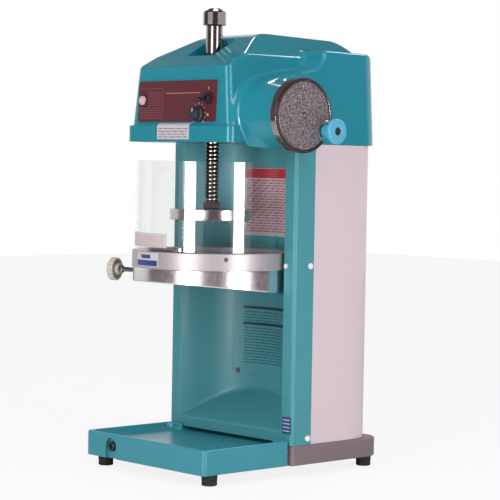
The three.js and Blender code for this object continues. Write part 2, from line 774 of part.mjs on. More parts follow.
function buildAdjuster() {
  const group = new THREE.Group();
  group.rotation.z = radians(ADJUSTER_ANGLE);
  group.position.z = adjusterZ;
  machine.add(group);
  const inner = BLADE_INNER + bladeLength + GAP;
  const face = RING_RADIUS + ADJUSTER_REACH;
  const back = face - KNOB_THICK;
  const screw = alongX([[0, inner], [4, inner], [4, face - 4], [0, face - 4]], 0, 0, 20);
  const screwHead = rodX(7, back - 10, back - 5, 0, 0, 6);
  add('adjust_screw', join(screw, screwHead), steel, group);
  const wall = 3;
  const knob = alongX(
    [
      [4.3, back - 4.5],
      [9, back - 4.5],
      [9, face - wall - 1],
      [KNOB_RADIUS - wall, face - wall - 1],
      [KNOB_RADIUS - wall, back],
      [KNOB_RADIUS - 1, back],
      [KNOB_RADIUS, back + 1],
      [KNOB_RADIUS, face - 2],
      [KNOB_RADIUS - 2, face],
      [0, face],
      [0, face - wall],
      [4.3, face - wall],
      [4.3, back - 4.5],
    ],
    0,
    0,
    30
  );
  const rim = KNOB_RADIUS + 1;
  const flute = (k) => rodX(2.2, back - 1, face + 1, rim * Math.cos(k), rim * Math.sin(k), 8);
  const flutes = Array.from({ length: 12 }, (_, k) => flute((k * TAU) / 12));
  add('adjust_knob', cut(knob, ...flutes), ivoryPlastic, group);
}

function buildGuard() {
  const half = GUARD_ARC / 2;
  const from = -90 - half;
  const to = -90 + half;
  const plan = [...arc(guardRadius, from, to, 40), ...arc(guardRadius - GUARD_WALL, to, from, 40)];
  const foot = ringTop + GAP;
  add('guard', prismZ(plan, foot, foot + GUARD_HEIGHT), clear);

  // A strip on the ring keeps the guard's foot in place, with a round-headed screw at its end.
  const strip = [...arc(guardRadius + 3, -112, -66, 14), ...arc(guardRadius + 1, -66, -112, 14)];
  const pinAngle = radians(-64.5);
  const [pinBack, pinFace] = [guardRadius + 0.5, guardRadius + 4.5];
  const pin = solid(
    turnedGeometry([[0, pinBack], [4.2, pinBack], [4.2, pinFace], [0, pinFace]], 20)
      .rotateY(Math.PI / 2)
      .rotateZ(pinAngle)
      .translate(0, 0, foot + 4.3)
  );
  add('guard_strip', join(prismZ(strip, foot, foot + 4.5), pin), stainless);
}

// ---------------------------------------------------------------- spindle

function buildSpindle() {
  const stud = 8;
  const shaft = turned(
    [
      [0, plateBottom + 4],
      [stud, plateBottom + 4],
      [stud, collarTop + GAP],
      [SCREW_RADIUS, collarTop + GAP],
      [SCREW_RADIUS, shankBottom],
      [SHANK_RADIUS, shankBottom],
      [SHANK_RADIUS, capBottom - GAP],
      [stud, capBottom - GAP],
      [stud, capBottom + 18],
      [0, capBottom + 18],
    ],
    32
  );
  const keyHalf = KEYWAY_WIDTH / 2;
  const keyFloor = KEYWAY_DEPTH - SCREW_RADIUS;
  const keyway = box(-keyHalf, keyHalf, -SCREW_RADIUS - 1, keyFloor, collarTop + 6, shankBottom - 3);
  add('spindle_screw', cut(shaft, keyway), chrome);

  const cap = ring(
    [
      [stud + GAP, capBottom],
      [CAP_RADIUS - 1, capBottom],
      [CAP_RADIUS, capBottom + 1],
      [CAP_RADIUS, spindleTop - 7.5],
      [CAP_RADIUS - 1.5, spindleTop - 6],
      [10, spindleTop - 1.6],
      [0, spindleTop],
      [0, capBottom + 18 + GAP],
      [stud + GAP, capBottom + 18 + GAP],
    ],
    36
  );
  add('spindle_cap', cap, chrome);

  const collar = rod(COLLAR_RADIUS, collarBottom, collarTop, 6);
  add('spindle_collar', cut(collar, rod(stud + GAP, collarBottom - 1, collarTop + 1)), stainless);

  const plate = turned(
    [
      [0, plateBottom],
      [PLATE_RADIUS - 1, plateBottom],
      [PLATE_RADIUS, plateBottom + 1],
      [PLATE_RADIUS, plateTop - 1],
      [PLATE_RADIUS - 1, plateTop],
      [0, plateTop],
    ],
    40
  );
  const spikeRows = [[24, 6], [44, 10], [61, 14]];
  const spikes = spikeRows.flatMap(([radius, count]) =>
    Array.from({ length: count }, (_, k) => {
      const angle = ((k + 0.5) * TAU) / count;
      const spike = turnedGeometry([[0, -SPIKE_LENGTH], [2.6, 0.5], [0, 0.5]], 6);
      return solid(spike.translate(radius * Math.cos(angle), radius * Math.sin(angle), plateBottom));
    })
  );
  const studWay = rod(stud + GAP, plateBottom + 4 - GAP, plateTop + 1);
  add('spike_plate', cut(join(plate, ...spikes), studWay), stainless);
}

// ---------------------------------------------------------------- head: deck, gears and motor

function buildDeck() {
  const plan = outline([
    [-96, -62, 10],
    [96, -62, 10],
    [96, 84, 8],
    [POST_X + 14, 110, 6],
    [POST_X + 14, 150, 6],
    [60, MOTOR_Y + 24, 10],
    [-60, MOTOR_Y + 24, 10],
    [-POST_X - 14, 150, 6],
    [-POST_X - 14, 110, 6],
    [-96, 84, 8],
  ]);
  add(
    'head_frame',
    cut(
      prismZ(plan, deckBottom, deckTop),
      rod(SLEEVE_RADIUS + GAP, deckBottom - 1, deckTop + 1, 24),
      rodAt(MOTOR_SHAFT + 5, deckBottom - 1, deckTop + 1, 0, MOTOR_Y)
    ),
    castIron
  );

  // Floor plate of the head, which is also the ceiling of the recess.
  const floorPlan = outline([
    [-HEAD_HALF + SHEET + 2, HEAD_FRONT + SHEET + 1.5, 6],
    [HEAD_HALF - SHEET - 2, HEAD_FRONT + SHEET + 1.5, 6],
    [HEAD_HALF - SHEET - 2, POST_Y - POST_SIZE / 2 - 8],
    [100, POST_Y - POST_SIZE / 2 - 8],
    [100, RECESS_RADIUS],
    [-100, RECESS_RADIUS],
    [-100, POST_Y - POST_SIZE / 2 - 8],
    [-HEAD_HALF + SHEET + 2, POST_Y - POST_SIZE / 2 - 8],
  ]);
  const floor = prismZ(floorPlan, headBottom + 0.5, deckBottom - GAP);
  const spindleWay = rod(SLEEVE_RADIUS + 3, headBottom - 1, deckBottom + 1, 24);
  add('head_floor', cut(floor, spindleWay), headPaint);
}

function buildGearCase() {
  const plan = outline([
    [-56, -54, 8],
    [56, -54, 8],
    [56, 60, 8],
    [30, counterY + 22, 8],
    [-30, counterY + 22, 8],
    [-56, 60, 8],
  ]);
  const legs = [[-48, -46], [48, -46], [-48, 52], [48, 52]];
  const leg = (radius, low, high) => join(...legs.map(([x, y]) => rodAt(radius, low, high, x, y, 12)));
  const shaftWay = rodAt(COUNTER_RADIUS + GAP, caseBottom - 1, caseTop + 1, 0, counterY);
  const lower = join(prismZ(plan, caseBottom, caseFloor), leg(6, deckTop + GAP, caseUpper - GAP));
  add(
    'gear_case_lower',
    cut(lower, rod(SLEEVE_RADIUS + 6 + GAP, caseBottom - 1, caseFloor + 1, 24), shaftWay),
    castIron
  );
  const sleeveWay = rod(SLEEVE_RADIUS + GAP, caseUpper - 1, caseTop + 1, 24);
  add('gear_case_upper', cut(prismZ(plan, caseUpper, caseTop), sleeveWay, shaftWay), castIron);
  add('spindle_bearing', tube(SLEEVE_RADIUS + GAP, SLEEVE_RADIUS + 6, caseBottom, caseFloor), steel);
}

function buildDrive() {
  const bore = SCREW_RADIUS + 0.5;
  const keyHalf = KEYWAY_WIDTH / 2 - GAP;
  const keyTip = KEYWAY_DEPTH - GAP - SCREW_RADIUS;
  const key = box(-keyHalf, keyHalf, -bore - 1, keyTip, caseFloor, counterbore - 5);
  // The sleeve's upper end is wide enough for the spindle's plain shank to enter it.
  const sleeve = ring([
    [bore, caseBottom - 1],
    [SLEEVE_RADIUS, caseBottom - 1],
    [SLEEVE_RADIUS, caseTop + 3],
    [SHANK_RADIUS + 0.7, caseTop + 3],
    [SHANK_RADIUS + 0.7, counterbore],
    [bore, counterbore],
  ]);
  add('drive_sleeve', join(sleeve, key), steel);
  const gear = prismZ(gearOutline(GEAR_TEETH, GEAR_MODULE, 0.44), gearZ, gearZ + GEAR_FACE);
  add('drive_gear', cut(gear, rod(SLEEVE_RADIUS + GAP, gearZ - 1, gearZ + GEAR_FACE + 1)), steel);

  // The countershaft carries its pinion in one piece; a gap of the pinion faces a tooth of the gear.
  const counter = new THREE.Group();
  counter.position.set(0, counterY, 0);
  machine.add(counter);
  const meshPhase = -Math.PI / 2 + Math.PI / PINION_TEETH;
  const pinionOutline = gearOutline(PINION_TEETH, GEAR_MODULE, 0.44, meshPhase);
  const pinion = prismZ(pinionOutline, gearZ - 1, gearZ + GEAR_FACE + 1);
  const shaftTop = pulleyZ + PULLEY_WIDTH + 2;
  add('countershaft', join(rod(COUNTER_RADIUS, caseBottom - 1, shaftTop), pinion), steel, counter);
  add('counter_pulley', pulley(COUNTER_PULLEY, COUNTER_RADIUS + GAP), castIron, counter);

  const motor = new THREE.Group();
  motor.position.set(0, MOTOR_Y, 0);
  machine.add(motor);
  const top = deckBottom - GAP;
  const body = turned(
    [
      [0, top - MOTOR_LENGTH],
      [MOTOR_RADIUS - 6, top - MOTOR_LENGTH],
      [MOTOR_RADIUS, top - MOTOR_LENGTH + 6],
      [MOTOR_RADIUS, top - 6],
      [MOTOR_RADIUS - 6, top],
      [0, top],
    ],
    28
  );
  add('motor_body', cut(body, rod(MOTOR_SHAFT + GAP, top - 40, top + 1)), castGrey, motor);
  add('motor_shaft', rod(MOTOR_SHAFT, top - 40 + GAP, shaftTop), steel, motor);
  add('motor_pulley', pulley(MOTOR_PULLEY, MOTOR_SHAFT + GAP), castIron, motor);
  add('drive_belt', beltSolid(), rubber);
}

// A pulley with one straight groove, its middle halfway up.
function pulley(radius, bore) {
  const low = pulleyZ;
  const high = pulleyZ + PULLEY_WIDTH;
  const flange = (PULLEY_WIDTH - GROOVE_WIDTH) / 2;
  return ring(
    [
      [bore, low],
      [radius, low],
      [radius, low + flange],
      [radius - GROOVE_DEPTH, low + flange],
      [radius - GROOVE_DEPTH, high - flange],
      [radius, high - flange],
      [radius, high],
      [bore, high],
    ],
    28
  );
}

// Outline of a belt around both pulleys, at a distance in from their rims.
function beltOutline(depth) {
  const large = COUNTER_PULLEY - depth;
  const small = MOTOR_PULLEY - depth;
  const span = MOTOR_Y - counterY;
  const lean = (Math.asin((large - small) / span) * 180) / Math.PI;
  const wrap = (radius, from, to, y) =>
    arc(radius, from, to, 14).map((point) => point.setY(point.y + y));
  return [...wrap(large, 180 - lean, 360 + lean, counterY), ...wrap(small, lean, 180 - lean, MOTOR_Y)];
}

function beltSolid() {
  const slack = GROOVE_DEPTH - BELT_THICK - 0.5;
  const low = pulleyZ + (PULLEY_WIDTH - GROOVE_WIDTH) / 2 + GAP;
  const high = low + GROOVE_WIDTH - 2 * GAP;
  return cut(
    prismZ(beltOutline(slack), low, high),
    prismZ(beltOutline(slack + BELT_THICK), low - 1, high + 1)
  );
}

// ---------------------------------------------------------------- handwheel and feed nut

// A mitre gear with its apex at the origin and its teeth towards -Z, before it is placed.
function mitreTeeth(phase) {
  const near = 1 - BEVEL_FACE;
  const wide = gearOutline(BEVEL_TEETH, GEAR_MODULE, 0.4, phase);
  const narrow = wide.map((point) => point.clone().multiplyScalar(near));
  return ruled(wide, -BEVEL_RADIUS, narrow, -BEVEL_RADIUS * near);
}

function buildFeed() {
  const flangeTop = axleZ - BEVEL_RADIUS + 0.5;
  const nutBore = SCREW_RADIUS + 0.5;
  const toothed = solid(mitreTeeth(0).translate(0, 0, axleZ));
  const body = join(
    toothed,
    rod(SLEEVE_RADIUS + 1.5, deckTop + GAP, flangeTop, 24),
    rod(SLEEVE_RADIUS, deckBottom - 2, deckTop + 1, 24)
  );
  add('feed_nut', cut(body, rod(nutBore, deckBottom - 3, axleZ, 24)), brass);

  const pinionBack = BEVEL_RADIUS + 10;
  const teeth = solid(
    mitreTeeth(Math.PI / BEVEL_TEETH + Math.PI).rotateY(-Math.PI / 2).translate(0, 0, axleZ)
  );
  const hub = rodX(SLEEVE_RADIUS - 5, BEVEL_RADIUS - 0.5, pinionBack, 0, axleZ);
  const bore = rodX(AXLE_RADIUS + GAP, 0, pinionBack + 1, 0, axleZ);
  add('bevel_pinion', cut(join(teeth, hub), bore), steel);

  // Two ears on the deck carry the handwheel's shaft.
  const earFront = (x0) => [x0, x0 + 12];
  const ears = [earFront(pinionBack + GAP), earFront(82)].map(([x0, x1]) =>
    prismX(
      outline([
        [-18, deckTop + GAP],
        [18, deckTop + GAP],
        [13, axleZ + AXLE_RADIUS + 1.5, 6],
        [-13, axleZ + AXLE_RADIUS + 1.5, 6],
      ]),
      x0,
      x1
    )
  );
  const foot = box(pinionBack + GAP, 94, -18, 18, deckTop + GAP, deckTop + 6);
  const shaftWay = rodX(AXLE_RADIUS + GAP, 0, 140, 0, axleZ);
  add('handwheel_bracket', cut(join(foot, ...ears), shaftWay), castIron);
}

function buildHandwheel() {
  const shaftEnd = WHEEL_FACE - 1.5;
  const inner = BEVEL_RADIUS * (1 - BEVEL_FACE) + 1.5;
  const shaft = [
    [0, inner],
    [AXLE_RADIUS, inner],
    [AXLE_RADIUS, webFace + 2],
    [5, webFace + 2],
    [5, shaftEnd],
    [0, shaftEnd],
  ];
  add('handwheel_shaft', alongX(shaft, 0, axleZ, 24), steel);
  const [gripY, gripRise] = GRIP_PLACE;
  const gripZ = axleZ + gripRise;
  const notch = (radius) => rodX(radius, webFace, WHEEL_FACE + 1, gripY, gripZ, 24);
  const inside = WHEEL_RADIUS - WHEEL_WALL;
  const rim = alongX(
    [
      [AXLE_RADIUS + GAP, wheelBack],
      [WHEEL_RADIUS - 1.5, wheelBack],
      [WHEEL_RADIUS, wheelBack + 1.5],
      [WHEEL_RADIUS, WHEEL_FACE - 1.2],
      [WHEEL_RADIUS - 1.2, WHEEL_FACE],
      [inside, WHEEL_FACE],
      [inside, webFace],
      [AXLE_RADIUS + GAP, webFace],
      [AXLE_RADIUS + GAP, wheelBack],
    ],
    0,
    axleZ,
    48
  );
  const pinWay = rodX(3.8, wheelBack - 1, WHEEL_FACE, gripY, gripZ);
  add('handwheel_rim', cut(rim, notch(GRIP_NOTCH), pinWay), chrome);
  const nutWay = 5 + GAP;
  const shoulderWay = AXLE_RADIUS + GAP;
  const shoulder = webFace + 2 + GAP;
  const face = alongX(
    [
      [nutWay, shoulder],
      [shoulderWay, shoulder],
      [shoulderWay, webFace + GAP],
      [inside - GAP, webFace + GAP],
      [inside - GAP, WHEEL_FACE - 0.8],
      [nutWay, WHEEL_FACE - 0.8],
      [nutWay, shoulder],
    ],
    0,
    axleZ,
    48
  );
  add('handwheel_face', cut(face, notch(GRIP_NOTCH + 1)), hammered);

  const gripBack = webFace + GAP;
  const gripFace = gripBack + GRIP_LENGTH;
  const grip = alongX(
    [
      [3.8, gripBack],
      [11, gripBack],
      [11, gripFace - 12],
      [GRIP_RADIUS - 2, gripFace - 9],
      [GRIP_RADIUS, gripFace - 7],
      [GRIP_RADIUS, gripFace - 2],
      [GRIP_RADIUS - 2, gripFace],
      [6.2, gripFace],
      [6.2, gripFace - 4.5],
      [3.8, gripFace - 4.5],
      [3.8, gripBack],
    ],
    gripY,
    gripZ,
    24
  );
  add('grip', grip, gripPlastic);
  const pin = alongX(
    [
      [0, wheelBack],
      [3.5, wheelBack],
      [3.5, gripFace - 4.5 + GAP],
      [5.8, gripFace - 4.5 + GAP],
      [5.8, gripFace - 1],
      [0, gripFace - 1],
    ],
    gripY,
    gripZ,
    20
  );
  add('grip_pin', pin, steel);
}

// ---------------------------------------------------------------- head cover and control panel

// The cover is the part common to a side view, a front view and a plan, joined with the wide rear part
// that sits on the column and the round boss behind the handwheel. `inset` makes the shape smaller.
function headShape(inset) {
  const low = headBottom - (inset ? 1 : 0);
  const crownZ = headBottom + HEAD_CROWN[1] - inset;
  const rear = HEAD_REAR - inset;
  const sideView = prismX(
    outline([
      [HEAD_FRONT + inset, low],
      [HEAD_CREASE[0] + inset, headBottom + HEAD_CREASE[1] - inset, 12],
      [40, crownZ, 60],
      [185, crownZ, 50],
      [rear - 6, crownZ - 30, 22],
      [rear, low],
    ]),
    -300,
    300
  );
  const frontView = prismY(
    outline([
      [-HEAD_HALF + inset, low],
      [HEAD_HALF - inset, low],
      [HEAD_SHOULDER[0] - inset, headBottom + HEAD_SHOULDER[1] - inset, 14],
      [HEAD_CROWN[0] - inset, crownZ, 30],
      [-HEAD_CROWN[0] + inset, crownZ, 30],
      [-HEAD_SHOULDER[0] + inset, headBottom + HEAD_SHOULDER[1] - inset, 14],
    ]),
    -300,
    300
  );
  const plan = prismZ(
    outline([
      [-HEAD_HALF + inset, HEAD_FRONT + inset, 12],
      [HEAD_HALF - inset, HEAD_FRONT + inset, 12],
      [HEAD_HALF - inset, rear, 30],
      [-HEAD_HALF + inset, rear, 30],
    ]),
    low,
    crownZ + 5
  );
  const brim = prismZ(
    outline([
      [-HEAD_HALF - BRIM_STEP + inset, HEAD_FRONT - BRIM_STEP + inset, 12],
      [HEAD_HALF + BRIM_STEP - inset, HEAD_FRONT - BRIM_STEP + inset, 12],
      [HEAD_HALF + BRIM_STEP - inset, COLUMN_FRONT],
      [-HEAD_HALF - BRIM_STEP + inset, COLUMN_FRONT],
    ]),
    low,
    headBottom + BRIM_HEIGHT - inset
  );
  const wideTop = [
    [106, axleZ + 109 - inset, 10],
    [rear - 8, axleZ + 101 - inset, 20],
    [rear, low],
  ];
  const wideLeft = prismX(
    outline([[COLUMN_FRONT + inset, low], [COLUMN_FRONT + 8 + inset, axleZ + 70 - inset, 30], ...wideTop]),
    -columnHalf + inset,
    0
  );
  const wideRight = prismX(
    outline([
      [-32 + inset, low],
      [-30 + inset, axleZ + 16 - inset, 34],
      [18, axleZ + 66 - inset, 30],
      [75, axleZ + 77 - inset, 30],
      ...wideTop,
    ]),
    -1,
    columnHalf - inset
  );
  const rearPlan = prismZ(
    outline([
      [-columnHalf + inset, HEAD_FRONT],
      [columnHalf - inset, HEAD_FRONT],
      [columnHalf - inset, rear, 38],
      [-columnHalf + inset, rear, 38],
    ]),
    low,
    crownZ
  );
  const bossFace = BOSS_FACE - inset;
  const bossProfile = [
    [0, 60],
    [72 - inset, 60],
    [56 - inset, 150],
    [50 - inset, bossFace],
    [0, bossFace],
  ];
  const boss = alongX(bossProfile, 0, axleZ, 40);
  const bossTrim = box(0, 300, -100, 100, headBottom - 8 + inset, crownZ);
  const body = sideView.intersect(frontView).intersect(plan);
  return join(body, brim, join(wideLeft, wideRight).intersect(rearPlan), boss.intersect(bossTrim));
}

function buildHeadCover(panelCuts) {
  const opening = box(-OPENING_HALF, OPENING_HALF, OPENING_FRONT, OPENING_REAR, axleZ, headBottom + 300);
  const shaftWay = rodX(AXLE_RADIUS + GAP, 60, 300, 0, axleZ);
  add('head_cover', cut(headShape(0), headShape(SHEET), opening, shaftWay, ...panelCuts), headPaint);
}

function buildPanel() {
  const [panelX, panelRise] = PANEL_PLACE;
  const panel = new THREE.Group();
  const faceY = HEAD_FRONT + Math.tan(panelLean) * panelRise;
  panel.position.set(panelX, faceY, headBottom + panelRise);
  panel.rotation.x = Math.PI / 2 - panelLean;
  machine.add(panel);
  panel.updateMatrix();

  // In the panel's own frame x is u, y is v and z is w, out of the face.
  const back = GAP;
  const front = GAP + PANEL_THICK;
  const [width, height] = PANEL_SIZE;
  const [u, v] = [width / 2, height / 2];
  const ways = [[TOGGLE_AT, 6.3], [DIAL_AT, 4.3], [RESET_AT, RESET_RADIUS + GAP]];
  const way = ([[x, y], radius], low, high) =>
    turnedGeometry([[0, low], [radius, low], [radius, high], [0, high]], 24).translate(x, y, 0);
  const plate = prismZ(outline([[-u, -v, 5], [u, -v, 5], [u, v, 5], [-u, v, 5]]), back, front);
  add('control_panel', cut(plate, ...ways.map((hole) => solid(way(hole, -1, 9)))), maroon, panel);

  // Switch, speed control and breaker share one housing behind the cover's wall.
  const moduleFace = -SHEET - 2 * GAP;
  const housing = prismZ(
    outline([[-u + 2, -26, 4], [u - 2, -26, 4], [u - 2, 26, 4], [-u + 2, 26, 4]]),
    moduleFace - 11,
    moduleFace
  );
  const block = (place, high) =>
    box(place[0] - 10, place[0] + 10, place[1] - 14, place[1] + 14, moduleFace - 27, high);
  const pockets = [[DIAL_AT, 4.3], [RESET_AT, RESET_RADIUS + GAP]];
  add(
    'control_module',
    cut(
      join(housing, block(TOGGLE_AT, moduleFace - 1), block(RESET_AT, moduleFace - 1)),
      ...pockets.map((hole) => solid(way(hole, moduleFace - 6, moduleFace + 1)))
    ),
    blackPlastic,
    panel
  );

  const [toggleU, toggleV] = TOGGLE_AT;
  const collarTopW = front + 6;
  const body = join(
    rodAt(6, moduleFace + GAP, front + 2, toggleU, toggleV),
    rodAt(9, front + GAP, collarTopW, toggleU, toggleV)
  );
  const throat = solid(
    turnedGeometry([[0, front + 1.5], [3.4, front + 1.5], [6.5, collarTopW + 1], [0, collarTopW + 1]], 24)
      .translate(toggleU, toggleV, 0)
  );
  add('toggle_body', cut(body, throat), blackPlastic, panel);
  const lever = turned([[0, 0], [2.2, 0], [2.4, 2], [3.6, 20], [2.8, 22], [0, 23]], 16);
  const leverMesh = add('toggle_lever', lever, blackPlastic, panel);
  leverMesh.position.set(toggleU, toggleV, front + 2.6);
  leverMesh.rotation.x = radians(TOGGLE_REST);

  const [dialU, dialV] = DIAL_AT;
  const dial = join(
    turned(
      [
        [0, front + GAP],
        [DIAL_RADIUS, front + GAP],
        [DIAL_RADIUS, front + 3],
        [DIAL_RADIUS - 2, front + 4],
        [DIAL_RADIUS - 3, front + 14],
        [0, front + 14],
      ],
      30
    ),
    rod(4, moduleFace - 5, front + 2)
  );
  add('speed_dial', dial, blackPlastic, panel).position.set(dialU, dialV, 0);

  const [resetU, resetV] = RESET_AT;
  const button = turned(
    [
      [0, moduleFace - 1.5],
      [RESET_RADIUS, moduleFace - 1.5],
      [RESET_RADIUS, front + 3],
      [RESET_RADIUS - 1, front + 4],
      [0, front + 4.6],
    ],
    24
  );
  add('reset_button', button, whitePlastic, panel).position.set(resetU, resetV, 0);

  return ways.map((hole) => solid(way(hole, -SHEET - 3, 3).applyMatrix4(panel.matrix)));
}

// ---------------------------------------------------------------- assembly

buildBase();
buildFeet();
buildTray();
buildColumn();
buildRing();
buildTable();
buildAdjuster();
buildGuard();
buildSpindle();
buildDeck();
buildGearCase();
buildDrive();
buildFeed();
buildHandwheel();
buildHeadCover(buildPanel());

const bounds = new THREE.Box3().setFromObject(machine);
machine.position.set(-(bounds.min.x + bounds.max.x) / 2, -(bounds.min.y + bounds.max.y) / 2, -bounds.min.z);

export default machine;
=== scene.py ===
"""Looks of the block-ice shaver: refined shells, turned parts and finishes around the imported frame."""

import math

import bmesh
import bpy
import numpy as np
from mathutils import Matrix, Vector


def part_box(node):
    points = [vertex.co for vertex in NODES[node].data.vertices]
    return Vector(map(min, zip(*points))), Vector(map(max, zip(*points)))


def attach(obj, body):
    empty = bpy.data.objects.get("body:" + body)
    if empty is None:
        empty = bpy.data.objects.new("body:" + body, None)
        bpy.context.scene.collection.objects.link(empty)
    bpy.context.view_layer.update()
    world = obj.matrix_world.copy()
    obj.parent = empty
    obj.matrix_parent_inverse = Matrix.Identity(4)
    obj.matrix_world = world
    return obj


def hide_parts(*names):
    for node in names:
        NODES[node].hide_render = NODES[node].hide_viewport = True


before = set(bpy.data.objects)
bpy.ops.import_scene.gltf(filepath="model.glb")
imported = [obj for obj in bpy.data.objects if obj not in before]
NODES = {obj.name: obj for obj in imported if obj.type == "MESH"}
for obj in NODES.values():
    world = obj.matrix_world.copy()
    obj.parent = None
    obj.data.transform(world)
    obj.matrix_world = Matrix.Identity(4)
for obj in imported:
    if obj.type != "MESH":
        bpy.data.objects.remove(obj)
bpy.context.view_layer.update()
MM = 0.001
TURN = math.tau

# The spindle's axis is the origin of every shape below, in millimetres, with z from the floor.
_low, _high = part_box("spindle_screw")
AXIS = np.array([(_low.x + _high.x) / 2, (_low.y + _high.y) / 2, 0.0])


def local(point):
    """A point of the frame, in metres, in the millimetres of the shapes."""
    return (point - Vector(AXIS)) / MM


def metres(points):
    return (np.asarray(points) * MM + AXIS).tolist()


# ---- outlines


def rounded(points, radii, steps=5, closed=False):
    """A polyline with its corners rounded. radii is one number or one for each point."""
    points = [np.array(p, float) for p in points]
    count = len(points)
    radii = [radii] * count if np.isscalar(radii) else list(radii)
    out = []
    for i, (corner, radius) in enumerate(zip(points, radii)):
        at_end = not closed and i in (0, count - 1)
        before, after = points[i - 1], points[(i + 1) % count]
        back, ahead = before - corner, after - corner
        lengths = np.linalg.norm(back), np.linalg.norm(ahead)
        if at_end or radius <= 0 or min(lengths) < 1e-9:
            out.append(corner)
            continue
        back, ahead = back / lengths[0], ahead / lengths[1]
        half = math.acos(np.clip(back @ ahead, -1, 1)) / 2
        if half > math.radians(88) or half < 1e-3:
            out.append(corner)
            continue
        run = min(radius / math.tan(half), 0.48 * lengths[0], 0.48 * lengths[1])
        radius = run * math.tan(half)
        middle = (back + ahead) / np.linalg.norm(back + ahead)
        centre = corner + middle * radius / math.sin(half)
        start, end = corner + back * run - centre, corner + ahead * run - centre
        sweep = math.pi - 2 * half
        for k in range(steps + 1):
            t = k / steps
            turn = math.sin((1 - t) * sweep) * start + math.sin(t * sweep) * end
            out.append(centre + turn / math.sin(sweep))
    return np.array(out)


def arc(radius, start, end, steps):
    """Points from a start angle to an end angle, in degrees."""
    angle = np.radians(np.linspace(start, end, steps + 1))
    return np.stack([radius * np.cos(angle), radius * np.sin(angle)], -1)


def offset(points, distance):
    """A closed outline moved inwards (its points run anticlockwise)."""
    points = np.asarray(points, float)
    ahead = np.roll(points, -1, 0) - points
    ahead /= np.linalg.norm(ahead, axis=1, keepdims=True)
    normal = np.stack([-ahead[:, 1], ahead[:, 0]], -1)
    both = normal + np.roll(normal, 1, 0)
    scale = np.maximum((both**2).sum(1) / 2, 0.4)
    return points + both / scale[:, None] * distance


def heading(degrees):
    """A level direction, its angle counted from +X."""
    a = math.radians(degrees)
    return np.array([math.cos(a), math.sin(a), 0])


def rectangle(x0, x1, y0, y1):
    return [[x0, y0], [x1, y0], [x1, y1], [x0, y1]]


def anticlockwise(points):
    points = np.asarray(points, float)
    x, y = points[:, 0], points[:, 1]
    area = (x * np.roll(y, -1) - y * np.roll(x, -1)).sum()
    return points if area > 0 else points[::-1]


# ---- parts: (vertices in mm, faces)


def loft(rings, wrap=True, caps=False):
    """A skin over rings of as many points each."""
    rings = np.asarray(rings, float)
    count, size = rings.shape[:2]
    last = size if wrap else size - 1
    faces = [
        (i * size + j, i * size + (j + 1) % size, (i + 1) * size + (j + 1) % size, (i + 1) * size + j)
        for i in range(count - 1)
        for j in range(last)
    ]
    if caps:
        faces.append(tuple(range(size))[::-1])
        faces.append(tuple(range((count - 1) * size, count * size)))
    return rings.reshape(-1, 3), faces


def joined(*parts):
    """Several parts as one."""
    vertices, faces, start = [], [], 0
    for points, polygons in parts:
        vertices.append(np.asarray(points, float))
        faces += [tuple(start + i for i in polygon) for polygon in polygons]
        start += len(points)
    return np.concatenate(vertices), faces


def moved(part, matrix=None, at=(0, 0, 0)):
    points = np.asarray(part[0], float)
    if matrix is not None:
        points = points @ np.array(matrix, float).T
    return points + np.array(at, float), part[1]


def towards(direction):
    """Rotation that takes +Z to a direction."""
    return np.array(Vector((0, 0, 1)).rotation_difference(Vector(direction)).to_matrix())


def lathe(profile, sides=72, wave=None):
    """Turned about Z. The profile runs from axis to axis, or comes back to its first point.
    wave(angle, radius, height) gives the radius where it isn't round."""
    angle = np.linspace(0, TURN, sides, endpoint=False)
    rings = []
    for radius, height in profile:
        r = np.full(sides, float(radius))
        if wave is not None and radius > 0:
            r = wave(angle, r, height)
        rings.append(np.stack([r * np.cos(angle), r * np.sin(angle), np.full(sides, height)], -1))
    return loft(rings)


def turned(points, radii=0.8, sides=72, steps=3, wave=None, closed=False):
    profile = rounded(points, radii, steps, closed)
    if closed:
        profile = np.concatenate([profile, profile[:1]])
    return lathe(profile, sides, wave)


def faceted(sides):
    """Makes a turned part a regular polygon, seen along its axis."""
    half = math.pi / sides
    return lambda angle, r, z: r * math.cos(half) / np.cos(angle % (2 * half) - half)


def slab(outline, low, high, edge=0.8, steps=3):
    """A plate between two heights with rounded rims."""
    outline = anticlockwise(outline)
    rings = []
    for k in range(steps + 1):
        turn = k / steps * math.pi / 2
        inset = edge * (1 - math.sin(turn))
        height = low + edge * (1 - math.cos(turn))
        rings.append((inset, height))
    rings += [(inset, low + high - height) for inset, height in reversed(rings)]
    loops = [np.column_stack([offset(outline, i) if i else outline, np.full(len(outline), z)]) for i,
        z in rings]
    return loft(loops, caps=True)


def block(x0, x1, y0, y1, z0, z1, edge=0.8, corner=1.0):
    plan = rounded(rectangle(x0, x1, y0, y1), corner, 3, True)
    return slab(plan, z0, z1, edge)


# ---- surfaces of a distance field


